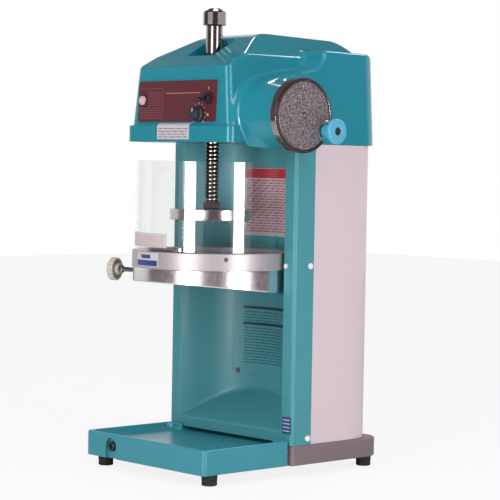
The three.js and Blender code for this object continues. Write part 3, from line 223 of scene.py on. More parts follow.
def implicit(field, low, high, step):
    """The surface field = 0 as quads: one vertex in each mixed cell, then drawn onto the surface."""
    axes = [np.arange(low[i], high[i] + step, step) for i in range(3)]
    value = field(*np.meshgrid(*axes, indexing="ij"))
    inside = value < 0
    corners = [
        inside[i : inside.shape[0] - 1 + i, j : inside.shape[1] - 1 + j, k : inside.shape[2] - 1 + k]
        for i in (0, 1)
        for j in (0, 1)
        for k in (0, 1)
    ]
    total = sum(c.astype(np.int8) for c in corners)
    mixed = (total > 0) & (total < 8)
    number = np.full(mixed.shape, -1)
    cells = np.argwhere(mixed)
    number[mixed] = np.arange(len(cells))
    points = np.array(low, float) + (cells + 0.5) * step

    def gradient(p):
        eps = 0.25
        out = np.empty_like(p)
        for axis in range(3):
            d = np.zeros(3)
            d[axis] = eps
            out[:, axis] = (field(*(p + d).T) - field(*(p - d).T)) / (2 * eps)
        return out

    start = points.copy()
    for _ in range(5):
        slope = gradient(points)
        size = np.maximum((slope**2).sum(1), 0.05)
        shift = -(field(*points.T) / size)[:, None] * slope
        length = np.linalg.norm(shift, axis=1, keepdims=True)
        points = points + shift * np.minimum(1, step / np.maximum(length, 1e-9))
        points = start + np.clip(points - start, -0.9 * step, 0.9 * step)
    faces = []
    for axis in range(3):
        other = [a for a in range(3) if a != axis]
        span = [slice(None)] * 3
        ahead = list(span)
        span[axis], ahead[axis] = slice(0, -1), slice(1, None)
        change = inside[tuple(span)] != inside[tuple(ahead)]
        edges = np.argwhere(change)
        keep = np.all(edges[:, other] > 0, 1)
        keep &= np.all(edges[:, other] < np.array([inside.shape[a] - 1 for a in other]), 1)
        edges = edges[keep]
        quad = []
        for da, db in ((0, 0), (1, 0), (1, 1), (0, 1)):
            cell = edges.copy()
            cell[:, other[0]] -= da
            cell[:, other[1]] -= db
            quad.append(number[tuple(cell.T)])
        quad = np.stack(quad, -1)
        flip = inside[tuple(edges.T)] ^ (axis == 1)
        quad[flip] = quad[flip][:, ::-1]
        faces.append(quad[(quad >= 0).all(1)])
    return points, [tuple(int(i) for i in q) for q in np.concatenate(faces)]


def both(radius, *fields):
    """Intersection with edges of a radius."""
    most = fields[0]
    for f in fields[1:]:
        most = np.maximum(most, f)
    out = sum(np.maximum(f + radius, 0) ** 2 for f in fields)
    return np.minimum(most, -radius) + np.sqrt(out)


def ridge(radius, a, b, cosine):
    """Intersection of two surfaces whose normals have this cosine, with an edge of a radius."""
    a1, b1 = a + radius, b + radius
    size = np.sqrt(np.maximum(a1 * a1 + b1 * b1 - 2 * cosine * a1 * b1, 0) / (1 - cosine**2))
    between = (b1 > cosine * a1) & (a1 > cosine * b1)
    return np.where(between, size - radius, np.maximum(a, b))


def either(radius, a, b):
    """Union with a fillet of a radius."""
    out = np.maximum(radius - a, 0) ** 2 + np.maximum(radius - b, 0) ** 2
    return np.maximum(np.minimum(a, b), radius) - np.sqrt(out)


# ---- Blender objects


PIECES = []


def mesh_of(name, part, closed=True, weld=True):
    """A mesh of a part. One that is closed gets its faces turned outwards."""
    mesh = bpy.data.meshes.new(name)
    mesh.from_pydata(metres(part[0]), [], part[1])
    work = bmesh.new()
    work.from_mesh(mesh)
    if weld:
        bmesh.ops.remove_doubles(work, verts=work.verts, dist=2e-6)
        bmesh.ops.dissolve_degenerate(work, edges=work.edges, dist=1e-6)
    if closed:
        bmesh.ops.recalc_face_normals(work, faces=work.faces)
    work.to_mesh(mesh)
    work.free()
    return mesh


def shown(name, data):
    obj = bpy.data.objects.new(name, data)
    bpy.context.scene.collection.objects.link(obj)
    return obj


def settle(mesh, angle=35):
    """Smooth faces, with sharp edges where they turn by more than the angle."""
    for polygon in mesh.polygons:
        polygon.use_smooth = True
    mesh.set_sharp_from_angle(angle=math.radians(angle))


def piece(name, part, material, replaces=None, body="frame", angle=35, closed=True, weld=True):
    """One visual piece. replaces is the CAD node that it stands for, if any."""
    mesh = mesh_of(name, part, closed, weld)
    mesh.materials.append(material)
    settle(mesh, angle)
    obj = shown(name, mesh)
    PIECES.append(obj)
    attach(obj, body)
    if replaces:
        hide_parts(replaces)
    return obj


def bake(obj):
    """Applies an object's modifiers."""
    graph = bpy.context.evaluated_depsgraph_get()
    old = obj.data
    mesh = bpy.data.meshes.new_from_object(obj.evaluated_get(graph), depsgraph=graph)
    obj.modifiers.clear()
    obj.data = mesh
    bpy.data.meshes.remove(old)
    return obj


def even(obj):
    """Lets the larger faces decide the smooth normals, so a small rounding leaves its flat faces flat."""
    obj.modifiers.new("even", "WEIGHTED_NORMAL").keep_sharp = True
    return bake(obj)


def carve(obj, *cutters, angle=35):
    """Cuts parts (vertices in mm, faces) out of an object."""
    made = []
    for part in cutters:
        cutter = shown("cutter", mesh_of("cutter", part))
        modifier = obj.modifiers.new("cut", "BOOLEAN")
        modifier.operation = "DIFFERENCE"
        modifier.solver = "EXACT"
        modifier.object = cutter
        made.append(cutter)
    bpy.context.view_layer.update()
    bake(obj)
    settle(obj.data, angle)
    for cutter in made:
        mesh = cutter.data
        bpy.data.objects.remove(cutter)
        bpy.data.meshes.remove(mesh)
    return obj


# ---- finishes


def srgb(red, green, blue):
    def linear(c):
        c /= 255
        return c / 12.92 if c <= 0.04045 else ((c + 0.055) / 1.055) ** 2.4

    return (linear(red), linear(green), linear(blue), 1.0)


def wired(tree, kind, inputs=None, **settings):
    """A node with its settings, its inputs set to values or linked to sockets."""
    node = tree.nodes.new(kind)
    for key, value in settings.items():
        setattr(node, key, value)
    for key, value in (inputs or {}).items():
        if isinstance(value, bpy.types.NodeSocket):
            tree.links.new(value, node.inputs[key])
        else:
            node.inputs[key].default_value = value
    return node


class Finish:
    """A node material: colour variation, roughness variation and fine relief around one shader."""

    def __init__(self, name, color, rough, metal=0.0):
        self.material = bpy.data.materials.new(name)
        self.material.use_nodes = True
        self.nodes = self.material.node_tree.nodes
        self.links = self.material.node_tree.links
        self.shader = self.nodes["Principled BSDF"]
        self.shader.inputs["Metallic"].default_value = metal
        self.place = self.nodes.new("ShaderNodeTexCoord").outputs["Object"]
        self.color = self.rgb(color)
        self.rough = rough
        self.height = None

    def new(self, kind, inputs=None, **settings):
        return wired(self.material.node_tree, kind, inputs, **settings)

    def rgb(self, color):
        node = self.new("ShaderNodeRGB")
        node.outputs[0].default_value = srgb(*color)
        return node.outputs[0]

    def stretched(self, scale):
        return self.new("ShaderNodeMapping", {"Vector": self.place, "Scale": scale}).outputs[0]

    def noise(self, scale, detail=4, rough=0.55, vector=None):
        inputs = {"Vector": vector or self.place, "Scale": scale, "Detail": detail, "Roughness": rough}
        return self.new("ShaderNodeTexNoise", inputs).outputs["Fac"]

    def ramp(self, value, low, high, start=0.0, end=1.0):
        inputs = {"Value": value, "From Min": low, "From Max": high, "To Min": start, "To Max": end}
        return self.new("ShaderNodeMapRange", inputs).outputs[0]

    def math(self, operation, a, b):
        return self.new("ShaderNodeMath", {0: a, 1: b}, operation=operation).outputs[0]

    def tint(self, color, share):
        """Mixes a colour in by a share, which is a number or a socket."""
        node = self.new("ShaderNodeMix", {"Factor": share}, data_type="RGBA")
        self.links.new(self.color, node.inputs["A"])
        node.inputs["B"].default_value = srgb(*color)
        self.color = node.outputs["Result"]
        return self

    def vary(self, dark, light, scale, low=0.35, high=0.65, share=1.0, detail=4):
        """Broad patches a little darker and lighter than the colour."""
        field = self.noise(scale, detail)
        self.tint(dark, self.ramp(field, low, 0.1, 0, share))
        self.tint(light, self.ramp(field, high, 0.9, 0, share))
        return self

    def relief(self, field, strength, distance):
        inputs = {"Height": field, "Strength": strength, "Distance": distance}
        if self.height is not None:
            inputs["Normal"] = self.height
        self.height = self.new("ShaderNodeBump", inputs).outputs[0]
        return self

    def wear(self, color, share=0.5, edge=0.52):
        """Paler, rubbed edges."""
        bend = self.new("ShaderNodeNewGeometry").outputs["Pointiness"]
        rubbed = self.ramp(bend, edge, edge + 0.05)
        spots = self.ramp(self.noise(90, 5), 0.45, 0.7)
        return self.tint(color, self.math("MULTIPLY", self.math("MULTIPLY", rubbed, spots), share))

    def done(self, spread=0.06, scale=35, **sockets):
        """Connects the shader. Roughness wanders by spread."""
        field = self.noise(scale, 6)
        value = self.ramp(field, 0.3, 0.7, max(self.rough - spread, 0.02), self.rough + spread)
        self.links.new(self.color, self.shader.inputs["Base Color"])
        self.links.new(value, self.shader.inputs["Roughness"])
        if self.height is not None:
            self.links.new(self.height, self.shader.inputs["Normal"])
        for key, value in sockets.items():
            self.shader.inputs[key.replace("_", " ")].default_value = value
        return self.material


def enamel(name, color, dark, light, rough=0.22, peel=0.05, coat=0.6, gloss=0.4):
    f = Finish(name, color, rough)
    f.vary(dark, light, 3.2, share=0.25, detail=1)
    f.tint(dark, f.ramp(f.noise(900, 2, 0.6), 0.5, 0.8, 0, 0.1))
    f.relief(f.noise(520, 2), peel, 0.0004)
    return f.done(0.015, 12, Coat_Weight=coat, Coat_Roughness=0.04, Specular_IOR_Level=gloss)


def plastic(name, color, dark, light, rough=0.4, grain=0.08):
    f = Finish(name, color, rough)
    f.vary(dark, light, 6, share=0.3, detail=1)
    f.tint(light, f.ramp(f.noise(600, 4, 0.7), 0.62, 0.8, 0, 0.2))
    f.relief(f.noise(900, 3), grain, 0.0003)
    return f.done(0.03, 30)


def polished(name, color, dark, rough=0.1, brush=(1, 1, 1), mark=0.04, streak=0.35, metal=1.0):
    f = Finish(name, color, rough, metal)
    f.vary(dark, color, 14, share=0.5)
    lines = f.noise(160, 6, 0.6, f.stretched(brush))
    f.tint(dark, f.ramp(lines, 0.5, 0.75, 0, streak))
    f.relief(lines, mark, 0.0003)
    return f.done(0.04, 120)


def casting(name, color, dark, light, rough=0.6, metal=0.2, grain=0.35):
    f = Finish(name, color, rough, metal)
    f.vary(dark, light, 12, share=0.6)
    f.tint(dark, f.ramp(f.noise(420, 5, 0.7), 0.56, 0.72, 0, 0.5))
    f.wear(light, 0.5)
    f.relief(f.noise(340, 5, 0.6), grain, 0.0006)
    return f.done(0.08, 50)


HEAD = enamel("head_enamel", (34, 136, 154), (28, 118, 138), (58, 160, 174), 0.18, 0.04, 0.3)
COLUMN = enamel("column_enamel", (73, 148, 157), (62, 135, 145), (92, 164, 172), 0.42, 0.05, 0.04, 0.3)
COVER = enamel("cover_enamel", (220, 202, 208), (208, 190, 197), (232, 218, 223), 0.34, 0.08, 0.25)
TRAY = plastic("tray_plastic", (54, 144, 160), (44, 128, 146), (84, 168, 182), 0.3)
BASE = casting("base_casting_paint", (124, 108, 114), (98, 84, 90), (158, 146, 150), 0.5, 0.1, 0.45)
IRON = casting("bare_iron", (86, 88, 90), (58, 58, 60), (118, 118, 120), 0.6, 0.7, 0.4)
CHROME = polished("chrome", (176, 170, 168), (128, 122, 118), 0.07)
STAINLESS = polished("stainless_polished", (196, 188, 190), (150, 140, 140), 0.13, (30, 30, 1), 0.12, 0.8)
# The shroud is the table's stainless steel painted lighter: painted light that brightens its reflections.
SHROUD = polished("shroud_steel_painted_light", (238, 231, 234), (196, 187, 190), 0.2, (30, 30, 1), 0.12, 0.8)
SPINDLE = polished("spindle_steel", (150, 143, 141), (110, 104, 101), 0.1)
SATIN = polished("aluminium_turned", (176, 168, 172), (146, 138, 144), 0.42, (1, 1, 60), 0.12, 0.35, 0.35)
STEEL = polished("steel_machined", (150, 150, 154), (118, 118, 122), 0.3, (1, 1, 8), 0.1)
BRASS = polished("brass_machined", (196, 160, 88), (150, 118, 60), 0.28, (1, 1, 8), 0.08)
BLACK = plastic("black_plastic", (26, 27, 30), (16, 16, 18), (60, 60, 64), 0.4)
IVORY = plastic("ivory_plastic", (208, 200, 186), (184, 174, 158), (226, 220, 208), 0.42)
WHITE = plastic("white_plastic", (236, 230, 232), (220, 212, 216), (248, 246, 247), 0.35)
BUTTON = plastic("button_plastic", (214, 176, 184), (190, 150, 160), (236, 214, 218), 0.35)
GRIP = plastic("grip_plastic", (84, 172, 204), (66, 150, 186), (126, 198, 220), 0.35)


def make_rubber():
    f = Finish("foot_rubber", (22, 22, 23), 0.75)
    f.vary((12, 12, 12), (48, 47, 46), 30, share=0.6)
    f.tint((86, 84, 80), f.ramp(f.noise(160, 6, 0.7), 0.62, 0.8, 0, 0.25))
    f.relief(f.noise(700, 4), 0.25, 0.0005)
    return f.done(0.1, 70)


def make_hammered():
    f = Finish("hammered_grey", (118, 104, 110), 0.5, 0.2)
    cells = f.new("ShaderNodeTexVoronoi", {"Vector": f.place, "Scale": 330.0, "Randomness": 1.0})
    lumps = cells.outputs["Distance"]
    fine = f.noise(620, 5, 0.75)
    f.tint((64, 50, 56), f.ramp(lumps, 0.3, 0.7, 0, 0.9))
    f.tint((232, 220, 216), f.ramp(fine, 0.54, 0.64, 0, 0.9))
    f.tint((98, 92, 100), f.ramp(f.noise(900, 2), 0.55, 0.7, 0, 0.6))
    f.relief(lumps, 0.5, 0.0006)
    f.relief(fine, 0.35, 0.0004)
    return f.done(0.12, 300)


def make_film():
    f = Finish("panel_film", (88, 24, 36), 0.42)
    f.vary((70, 16, 28), (112, 36, 48), 18, share=0.6)
    f.tint((150, 92, 98), f.ramp(f.noise(260, 6, 0.7), 0.66, 0.8, 0, 0.2))
    f.relief(f.noise(1300, 2), 0.1, 0.0002)
    return f.done(0.06, 90)


def make_print(name, color, rough=0.5):
    f = Finish(name, color, rough)
    f.tint((120, 112, 110), f.ramp(f.noise(240, 6, 0.7), 0.62, 0.8, 0, 0.18))
    f.relief(f.noise(900, 2), 0.06, 0.0002)
    return f.done(0.08, 120)


def make_clear():
    f = Finish("clear_guard", (255, 255, 255), 0.03)
    haze = f.ramp(f.noise(24, 6, 0.6), 0.45, 0.75, 0, 0.35)
    f.tint((250, 253, 253), haze)
    f.relief(f.noise(9, 2), 0.02, 0.001)
    return f.done(0.02, 40, Transmission_Weight=1.0, IOR=1.04, Coat_Weight=1.0, Coat_Roughness=0.02,
        Coat_IOR=1.5)


def make_thread():
    """Steel with painted shade that darkens it towards the root of the thread."""
    f = Finish("thread_steel", (176, 166, 152), 0.2, 1.0)
    out = f.new("ShaderNodeVectorMath", {0: f.place, 1: tuple(AXIS)}, operation="SUBTRACT").outputs[0]
    flat = f.new("ShaderNodeVectorMath", {0: out, 1: (1, 1, 0)}, operation="MULTIPLY").outputs[0]
    depth = f.new("ShaderNodeVectorMath", {0: flat}, operation="LENGTH").outputs["Value"]
    # Painted shade: the groove of the thread is tinted dark towards its root.
    f.tint((30, 27, 25), f.ramp(depth, 0.01165, 0.0103))
    f.tint((92, 82, 70), f.ramp(f.noise(240, 5), 0.5, 0.8, 0, 0.5))
    f.relief(f.noise(900, 3), 0.08, 0.0002)
    return f.done(0.05, 120)


THREAD = make_thread()
RUBBER = make_rubber()
HAMMERED = make_hammered()
FILM = make_film()
GOLD = make_print("print_gold", (206, 150, 88))
PALE = make_print("print_pale", (226, 214, 216))
PAPER = make_print("label_paper", (204, 196, 200), 0.5)
RED = make_print("label_red", (196, 24, 40), 0.45)
BLUE = make_print("label_blue", (36, 64, 128), 0.4)
GASKET = make_print("gasket_dark", (44, 8, 16), 0.55)
CLEAR = make_clear()

# ---- heights, mm

HEAD_Z = 545.3
AXLE_Z = 589.0
RING_TOP, RING_LOW = 366.2, 338.2
RING_OUT, RING_IN, RING_STEP = 131, 117, 122
SHROUD_OUT, SHROUD_SHORT, SHROUD_LONG = 129.5, 22, 47
FOOT_Z, TOP_Z = 50.8, 545.0
SEAM_Y, FRONT_Y, COVER_REAR = 90.0, 46.8, 243
HALF = 153.6
TRAY_TOP, TRAY_LOW = 59.7, 18.5


def shaded(obj, field, limit=0.75):
    """Gives faces that lie on the field's surface its own smooth normals."""
    mesh = obj.data
    points = (np.array([v.co for v in mesh.vertices]) - AXIS) / MM
    normals = np.empty_like(points)
    for axis in range(3):
        d = np.zeros(3)
        d[axis] = 0.2
        normals[:, axis] = field(*(points + d).T) - field(*(points - d).T)
    normals /= np.maximum(np.linalg.norm(normals, axis=1, keepdims=True), 1e-9)
    loops = []
    for polygon in mesh.polygons:
        flat = np.array(polygon.normal)
        for corner in polygon.vertices:
            loops.append(normals[corner] if normals[corner] @ flat > limit else flat)
    mesh.normals_split_custom_set([tuple(n) for n in loops])
    return obj


# ---- head cover

LEAN = math.atan2(5.0, 122.7)
PANEL_H = 66.5
PANEL_AT = np.array([-5.0, -76 + math.tan(LEAN) * PANEL_H, HEAD_Z + PANEL_H])
PANEL_AXES = np.array([
    [1, 0, 0],
    [0, math.sin(LEAN), math.cos(LEAN)],
    [0, -math.cos(LEAN), math.sin(LEAN)],
])
TOGGLE_AT, DIAL_AT, RESET_AT = (78, 4), (55.5, -21.5), (-86, 2)

# The head cover's main sizes. Heights are above its lower edge.
HOOD_Y, HOOD_X = 76, 126.5
SHOULDER_H, CROWN_H, LID_H = 142.7, 182.5, 154.5
HEAD_REAR = 246
BRIM_Y, BRIM_X, BRIM_H = 79.3, 129.8, 27.3
AXLE_H = AXLE_Z - HEAD_Z
BOSS_R, BOSS_START, BOSS_END = 56, 108, 197
BORE_R, BORE_START = 8.6, 188
OPENING_X, OPENING_FRONT, OPENING_REAR = 35, -34, 22


def on_panel(part, at=(0, 0, 0)):
    """From the panel's own frame (right, up, out) to the machine's."""
    points = np.asarray(part[0]) + np.array(at, float)
    return points @ PANEL_AXES + PANEL_AT, part[1]


def region(outline, y, h):
    """Signed distance to a closed outline in the plane of y and height."""
    best = np.full(np.shape(y), 1e9)
    inside = np.zeros(np.shape(y), bool)
    for (ay, ah), (by, bh) in zip(outline, np.roll(outline, -1, 0)):
        ey, eh = by - ay, bh - ah
        wy, wh = y - ay, h - ah
        t = np.clip((wy * ey + wh * eh) / (ey * ey + eh * eh), 0, 1)
        best = np.minimum(best, (wy - t * ey) ** 2 + (wh - t * eh) ** 2)
        crosses = (ah > h) != (bh > h)
        inside ^= crosses & (wy < ey * wh / (eh if abs(eh) > 1e-9 else 1e-9))
    return np.where(inside, -1, 1) * np.sqrt(best)


FENDER_RIGHT = rounded(
    [[-38.5, -40], [-37, 40], [-27, 74], [-12, 94], [8, 106], [28, 110.5], [64, 116.5],
     [92, 124], [106, 142], [110, 175], [330, 175], [330, -40]],
    [0, 20, 30, 20, 20, 40, 40, 20, 16, 0, 0, 0], 4, True)
FENDER_LEFT = rounded(
    [[46.8, -40], [47.5, 30], [54, 108], [76, 130], [100, 148], [112, 175], [330, 175], [330, -40]],
    [0, 0, 30, 30, 20, 0, 0, 0], 4, True)


def head_field(x, y, z):
    """Distance to the head cover: hood, wide fenders, handwheel boss and brim, with the holes in them."""
    h = z - HEAD_Z
    side = np.abs(x)
    front = -math.cos(LEAN) * (y + HOOD_Y) + math.sin(LEAN) * h
    slope = -0.4743 * (y + 71) + 0.8804 * (h - 122.7)
    crown = h - CROWN_H + 0.03 * (y - 60)
    flank = 0.9941 * (side - HOOD_X + 0.1092 * h)
    roof = 0.615 * (side - 111) + 0.788 * (h - SHOULDER_H)
    rear = y - HEAD_REAR + 0.045 * h
    low = -(h + 16)
    corner = both(11, front, flank)
    top = both(34, rear, ridge(90, slope, crown, 0.86))
    hood = ridge(10, top, roof, 0.76)
    body = ridge(6, corner, hood, 0.5)
    brim = both(2, both(12, -(y + BRIM_Y), side - BRIM_X), h - BRIM_H, y - FRONT_Y)
    wall = np.where(x > 0, region(FENDER_RIGHT, y, h) + 0.14 * (x - 134), region(FENDER_LEFT, y, h))
    lid = both(26, h - LID_H + 0.02 * np.maximum(y - 130, 0), rear)
    wide = both(4.5, both(36, side - HALF + 0.02 * h, rear), lid, wall)
    rho = np.sqrt(y * y + (h - AXLE_H) ** 2)
    cone = rho - BOSS_R + np.maximum(0.106 * (x - 150), 0.2 * (x - 150))
    boss = np.maximum(both(3, 0.98 * cone, x - BOSS_END), BOSS_START - x)
    shape = either(11, either(7, body, wide), boss)
    shape = np.minimum(shape, brim)
    shape = np.maximum(shape, low)
    shape = np.maximum(shape, -np.maximum(rho - BORE_R, BORE_START - x))
    place = np.stack([x - PANEL_AT[0], y - PANEL_AT[1], z - PANEL_AT[2]])
    u, v, w = (sum(PANEL_AXES[k][i] * place[i] for i in range(3)) for k in range(3))
    for (cu, cv), radius in ((TOGGLE_AT, 6.8), (DIAL_AT, 5), (RESET_AT, 9)):
        hole = np.maximum(np.hypot(u - cu, v - cv) - radius, np.abs(w) - 7)
        shape = np.maximum(shape, -hole)
    return shape


def belly(x, y):
    """How far the boss's underside hangs below the cover's bottom edge."""
    across = np.clip((x - 124) / 8, 0, 1)
    along = np.clip((48 - np.abs(y + 4)) / 20, 0, 1)
    return 8 * (across**2 * (3 - 2 * across)) * (along**2 * (3 - 2 * along))


def build_head():
    step = 2.2
    points, faces = implicit(head_field, (-160, -86, HEAD_Z - 20), (204, 254, HEAD_Z + 190), step)
    points[:, 2] += belly(points[:, 0], points[:, 1])
    obj = piece("head_shell", (points, faces), HEAD, "head_cover", weld=False)
    work = bmesh.new()
    work.from_mesh(obj.data)
    open_to = HEAD_Z + 90

    def middle(face):
        return local(face.calc_center_median())

    def plane(where, normal, near):
        """Cuts the faces near a plane along it."""
        chosen = [f for f in work.faces if near(middle(f))]
        geometry = list({v for f in chosen for v in f.verts} | {e for f in chosen for e in f.edges}) + chosen
        at = Vector(where) * MM + Vector(AXIS)
        bmesh.ops.bisect_plane(work, geom=geometry, dist=1e-6, plane_co=at, plane_no=normal)

    def delete(inside):
        bmesh.ops.delete(work, geom=[f for f in work.faces if inside(middle(f))], context="FACES")

    def grown(edges, shift):
        """Extrudes a rim by a shift that depends on the place. Returns the new rim."""
        out = bmesh.ops.extrude_edge_only(work, edges=edges)["geom"]
        for v in out:
            if isinstance(v, bmesh.types.BMVert):
                v.co += shift(local(v.co)) * MM
        return [e for e in out if isinstance(e, bmesh.types.BMEdge) and e.is_boundary]

    def by_opening(c):
        return c.z > open_to and abs(c.x) < 50 and -50 < c.y < 38

    def over_opening(c):
        return c.z > open_to and abs(c.x) < OPENING_X and OPENING_FRONT < c.y < OPENING_REAR

    def bevelled(c):
        x = -np.sign(c.x) if abs(abs(c.x) - OPENING_X) < 0.1 else 0
        y = 1 if abs(c.y - OPENING_FRONT) < 0.1 else -1 if abs(c.y - OPENING_REAR) < 0.1 else 0
        return Vector((x, y, -1)) * 0.8

    def inward(c):
        along = [head_field(c.x + d, c.y, HEAD_Z + 4.0) for d in (0.3, -0.3)]
        across = [head_field(c.x, c.y + d, HEAD_Z + 4.0) for d in (0.3, -0.3)]
        return -3 * Vector((along[0] - along[1], across[0] - across[1], 0)).normalized()

    plane((0, 0, HEAD_Z), (0, 0, 1), lambda c: abs(c.z - HEAD_Z) < 8)
    delete(lambda c: c.z < HEAD_Z)
    for x in (OPENING_X, -OPENING_X):
        plane((x, 0, 0), (1, 0, 0), by_opening)
    for y in (OPENING_FRONT, OPENING_REAR):
        plane((0, y, 0), (0, 1, 0), by_opening)
    delete(over_opening)
    rims = [e for e in work.edges if e.is_boundary]
    upper = [e for e in rims if local(e.verts[0].co).z > HEAD_Z + 60]
    lower = [e for e in rims if local(e.verts[0].co).z < HEAD_Z + 20]
    grown(grown(upper, bevelled), lambda c: Vector((0, 0, HEAD_Z + 70 - c.z)))
    grown(grown(lower, inward), lambda c: Vector((0, 0, 20)))
    for v in work.verts:
        c = local(v.co)
        v.co.z -= float(belly(c.x, c.y)) * MM
    bmesh.ops.recalc_face_normals(work, faces=work.faces)
    work.to_mesh(obj.data)
    work.free()
    settle(obj.data, 40)
    shaded(obj, head_field)
    return obj


build_head()

# ---- control panel

PLATE_W = 2.3
U, V = 98.5, 33.5


def frame_outline(inset, radius):
    u, v = U - inset, V - inset
    return rounded(rectangle(-u, u, -v, v), radius, 6, True)


def hollow_slab(outer, inner, low, high, edge=0.2):
    """A flat frame between two outlines of as many points."""
    rims = [(outer, low), (outer, high - edge), (offset(outer, edge), high)]
    rims += [(offset(inner, -edge), high), (inner, high - edge), (inner, low), (outer, low)]
    return loft([np.column_stack([outline, np.full(len(outline), z)]) for outline, z in rims])


piece("control_plate", on_panel(slab(frame_outline(0, 5), 0.3, PLATE_W, 0.5)), FILM, "control_panel")
border = hollow_slab(frame_outline(-2.2, 7), frame_outline(-0.15, 5), 0.0, 1.9, 0.6)
piece("plate_border", on_panel(border), HEAD)


def strip(u0, u1, v0, v1, high=0.18):
    return slab(rectangle(u0, u1, v0, v1), PLATE_W - 0.05, PLATE_W + high, 0.05, 1)


piece("plate_rule", on_panel(strip(-29, 56, 12.6, 13.6)), GOLD)
box_lines = [(-95, -35.4, 21, 21.5), (-35.9, -35.4, -31, 21), (-95, -35.4, -11.5, -11)]
box_lines += [(-74, -40, 15.2 - 3.1 * k, 15.7 - 3.1 * k) for k in range(8)]
box_lines += [(-93, -38, -15 - 3.2 * k, -14.5 - 3.2 * k) for k in range(5)]
lines = joined(*[strip(*line) for line in box_lines])
piece("plate_lines", on_panel(lines), make_print("print_rose", (150, 96, 104)))


def tick(angle, near, far, width=0.7, at=DIAL_AT):
    """A radial line printed at an angle round a control."""
    ahead, side = heading(angle)[:2], heading(angle + 90)[:2] * width / 2
    corners = [ahead * near - side, ahead * far - side, ahead * far + side, ahead * near + side]
    return slab(np.array(corners) + at, PLATE_W - 0.05, PLATE_W + 0.18, 0.05, 1)


ticks = [tick(225 - 27 * k, 15.5, 18.5 if k % 5 else 19.8) for k in range(11)]
ticks += [strip(TOGGLE_AT[0] - 0.5, TOGGLE_AT[0] + 0.5, 18, 22.5)]
outer, inner = (arc(radius, 0, 360, 24)[:-1] for radius in (2.2, 1.4))
off_mark = hollow_slab(outer, inner, PLATE_W - 0.05, PLATE_W + 0.18, 0.05)
ticks += [moved(off_mark, at=(TOGGLE_AT[0], -22.5, 0))]
piece("plate_marks", on_panel(joined(*ticks)), PALE)

# Toggle: threaded bush with a hexagonal nut, and a lever that points down a little.
bush = turned([[0, -5], [6, -5], [6, 7.6], [5.2, 8.4], [4, 8.4], [3.2, 4.2], [0, 4.2]], 0.3, 36)
nut = turned([[5.5, PLATE_W], [10.2, PLATE_W], [10.2, 5.4], [9.6, 6.2], [5.5, 6.2], [5.5, PLATE_W]], 0.3,
    72, wave=faceted(6))
piece("toggle_bush", on_panel(joined(bush, nut), (*TOGGLE_AT, 0)), BLACK, "toggle_body")
lever = turned([[0, 0], [2.2, 0], [2.4, 4], [3.0, 12], [3.9, 19], [3.6, 22], [2.2, 23.2], [0, 23.4]], 1.0, 32)
tilt = np.array(Matrix.Rotation(math.radians(12), 3, "X"))
piece("toggle_arm", on_panel(moved(lever, tilt), (*TOGGLE_AT, 4.9)), BLACK, "toggle_lever", body="toggle")


def knurl(count, depth):
    """Grooves along the grip of a control knob."""
    return lambda angle, r, z: r - depth * (0.5 + 0.5 * np.cos(count * angle)) * (r > 8)


dial = turned([[0, 2.6], [13, 2.6], [13, 5.2], [12, 6.3], [11, 6.8], [10.2, 15.2], [9.2, 16.3], [3, 16.3],
    [2.4, 15.8], [0, 15.8]], 0.7, 120, wave=knurl(20, 0.7))
pointer = moved(slab(rectangle(-0.6, 0.6, 3, 9), 16.2, 16.7, 0.1, 1))
dial_plastic = plastic("dial_plastic", (38, 42, 54), (26, 28, 38), (74, 78, 92), 0.38)
piece("dial_knob", on_panel(dial, (*DIAL_AT, 0)), dial_plastic, "speed_dial", body="dial")
piece("dial_pointer", on_panel(pointer, (*DIAL_AT, 0)), PALE, body="dial")
button = turned([[0, -2.5], [7.9, -2.5], [7.9, 4.2], [7.2, 6.0], [4.6, 7.1], [2.6, 6.9], [1.6, 6.2],
    [0, 6.0]], 0.8, 48)
collar = turned([[8.1, PLATE_W], [10.4, PLATE_W], [10.0, 3.4], [8.4, 3.6], [8.1, PLATE_W]], 0.3, 48)
piece("breaker_button", on_panel(button, (*RESET_AT, 0)), BUTTON, "reset_button", body="reset")
piece("breaker_collar", on_panel(collar, (*RESET_AT, 0)), BLACK)

# ---- base, feet and tray

BASE_PLAN = rounded(rectangle(-156, 156, FRONT_Y, 259), [4, 4, 32, 32], 10, True)
NOSE_PLAN = rounded(rectangle(-146.5, 146.5, -123, 50), 3, 3, True)
base = piece("base_body", slab(BASE_PLAN, 18, 50.5, 3.2, 5), BASE, "base_casting")
pocket = slab(rectangle(-119.5, 119.5, 40, 80.5), 45.6, 60, 0.1, 1)
hollow = slab(rectangle(-125, 125, 90, 225), 0, 44, 0.1, 1)
carve(base, pocket, hollow)
piece("base_nose", slab(NOSE_PLAN, 18, 45.0, 2), BASE)
sole = turned([[0, 4], [5, 4], [5, 0], [11, 0], [12.4, 1.2], [12.6, 4], [12.2, 5], [13, 14], [12.6, 17.7],
    [0, 17.7]], 0.7, 64)
for end, y in (("front", -112), ("rear", 239)):
    for side, x in (("left", -131.9), ("right", 131.9)):
        piece(f"sole_{end}_{side}", moved(sole, at=(x, y, 0)), RUBBER, f"foot_{end}_{side}")

DRAIN_X, DRAIN_Z = -84.5, 38.9


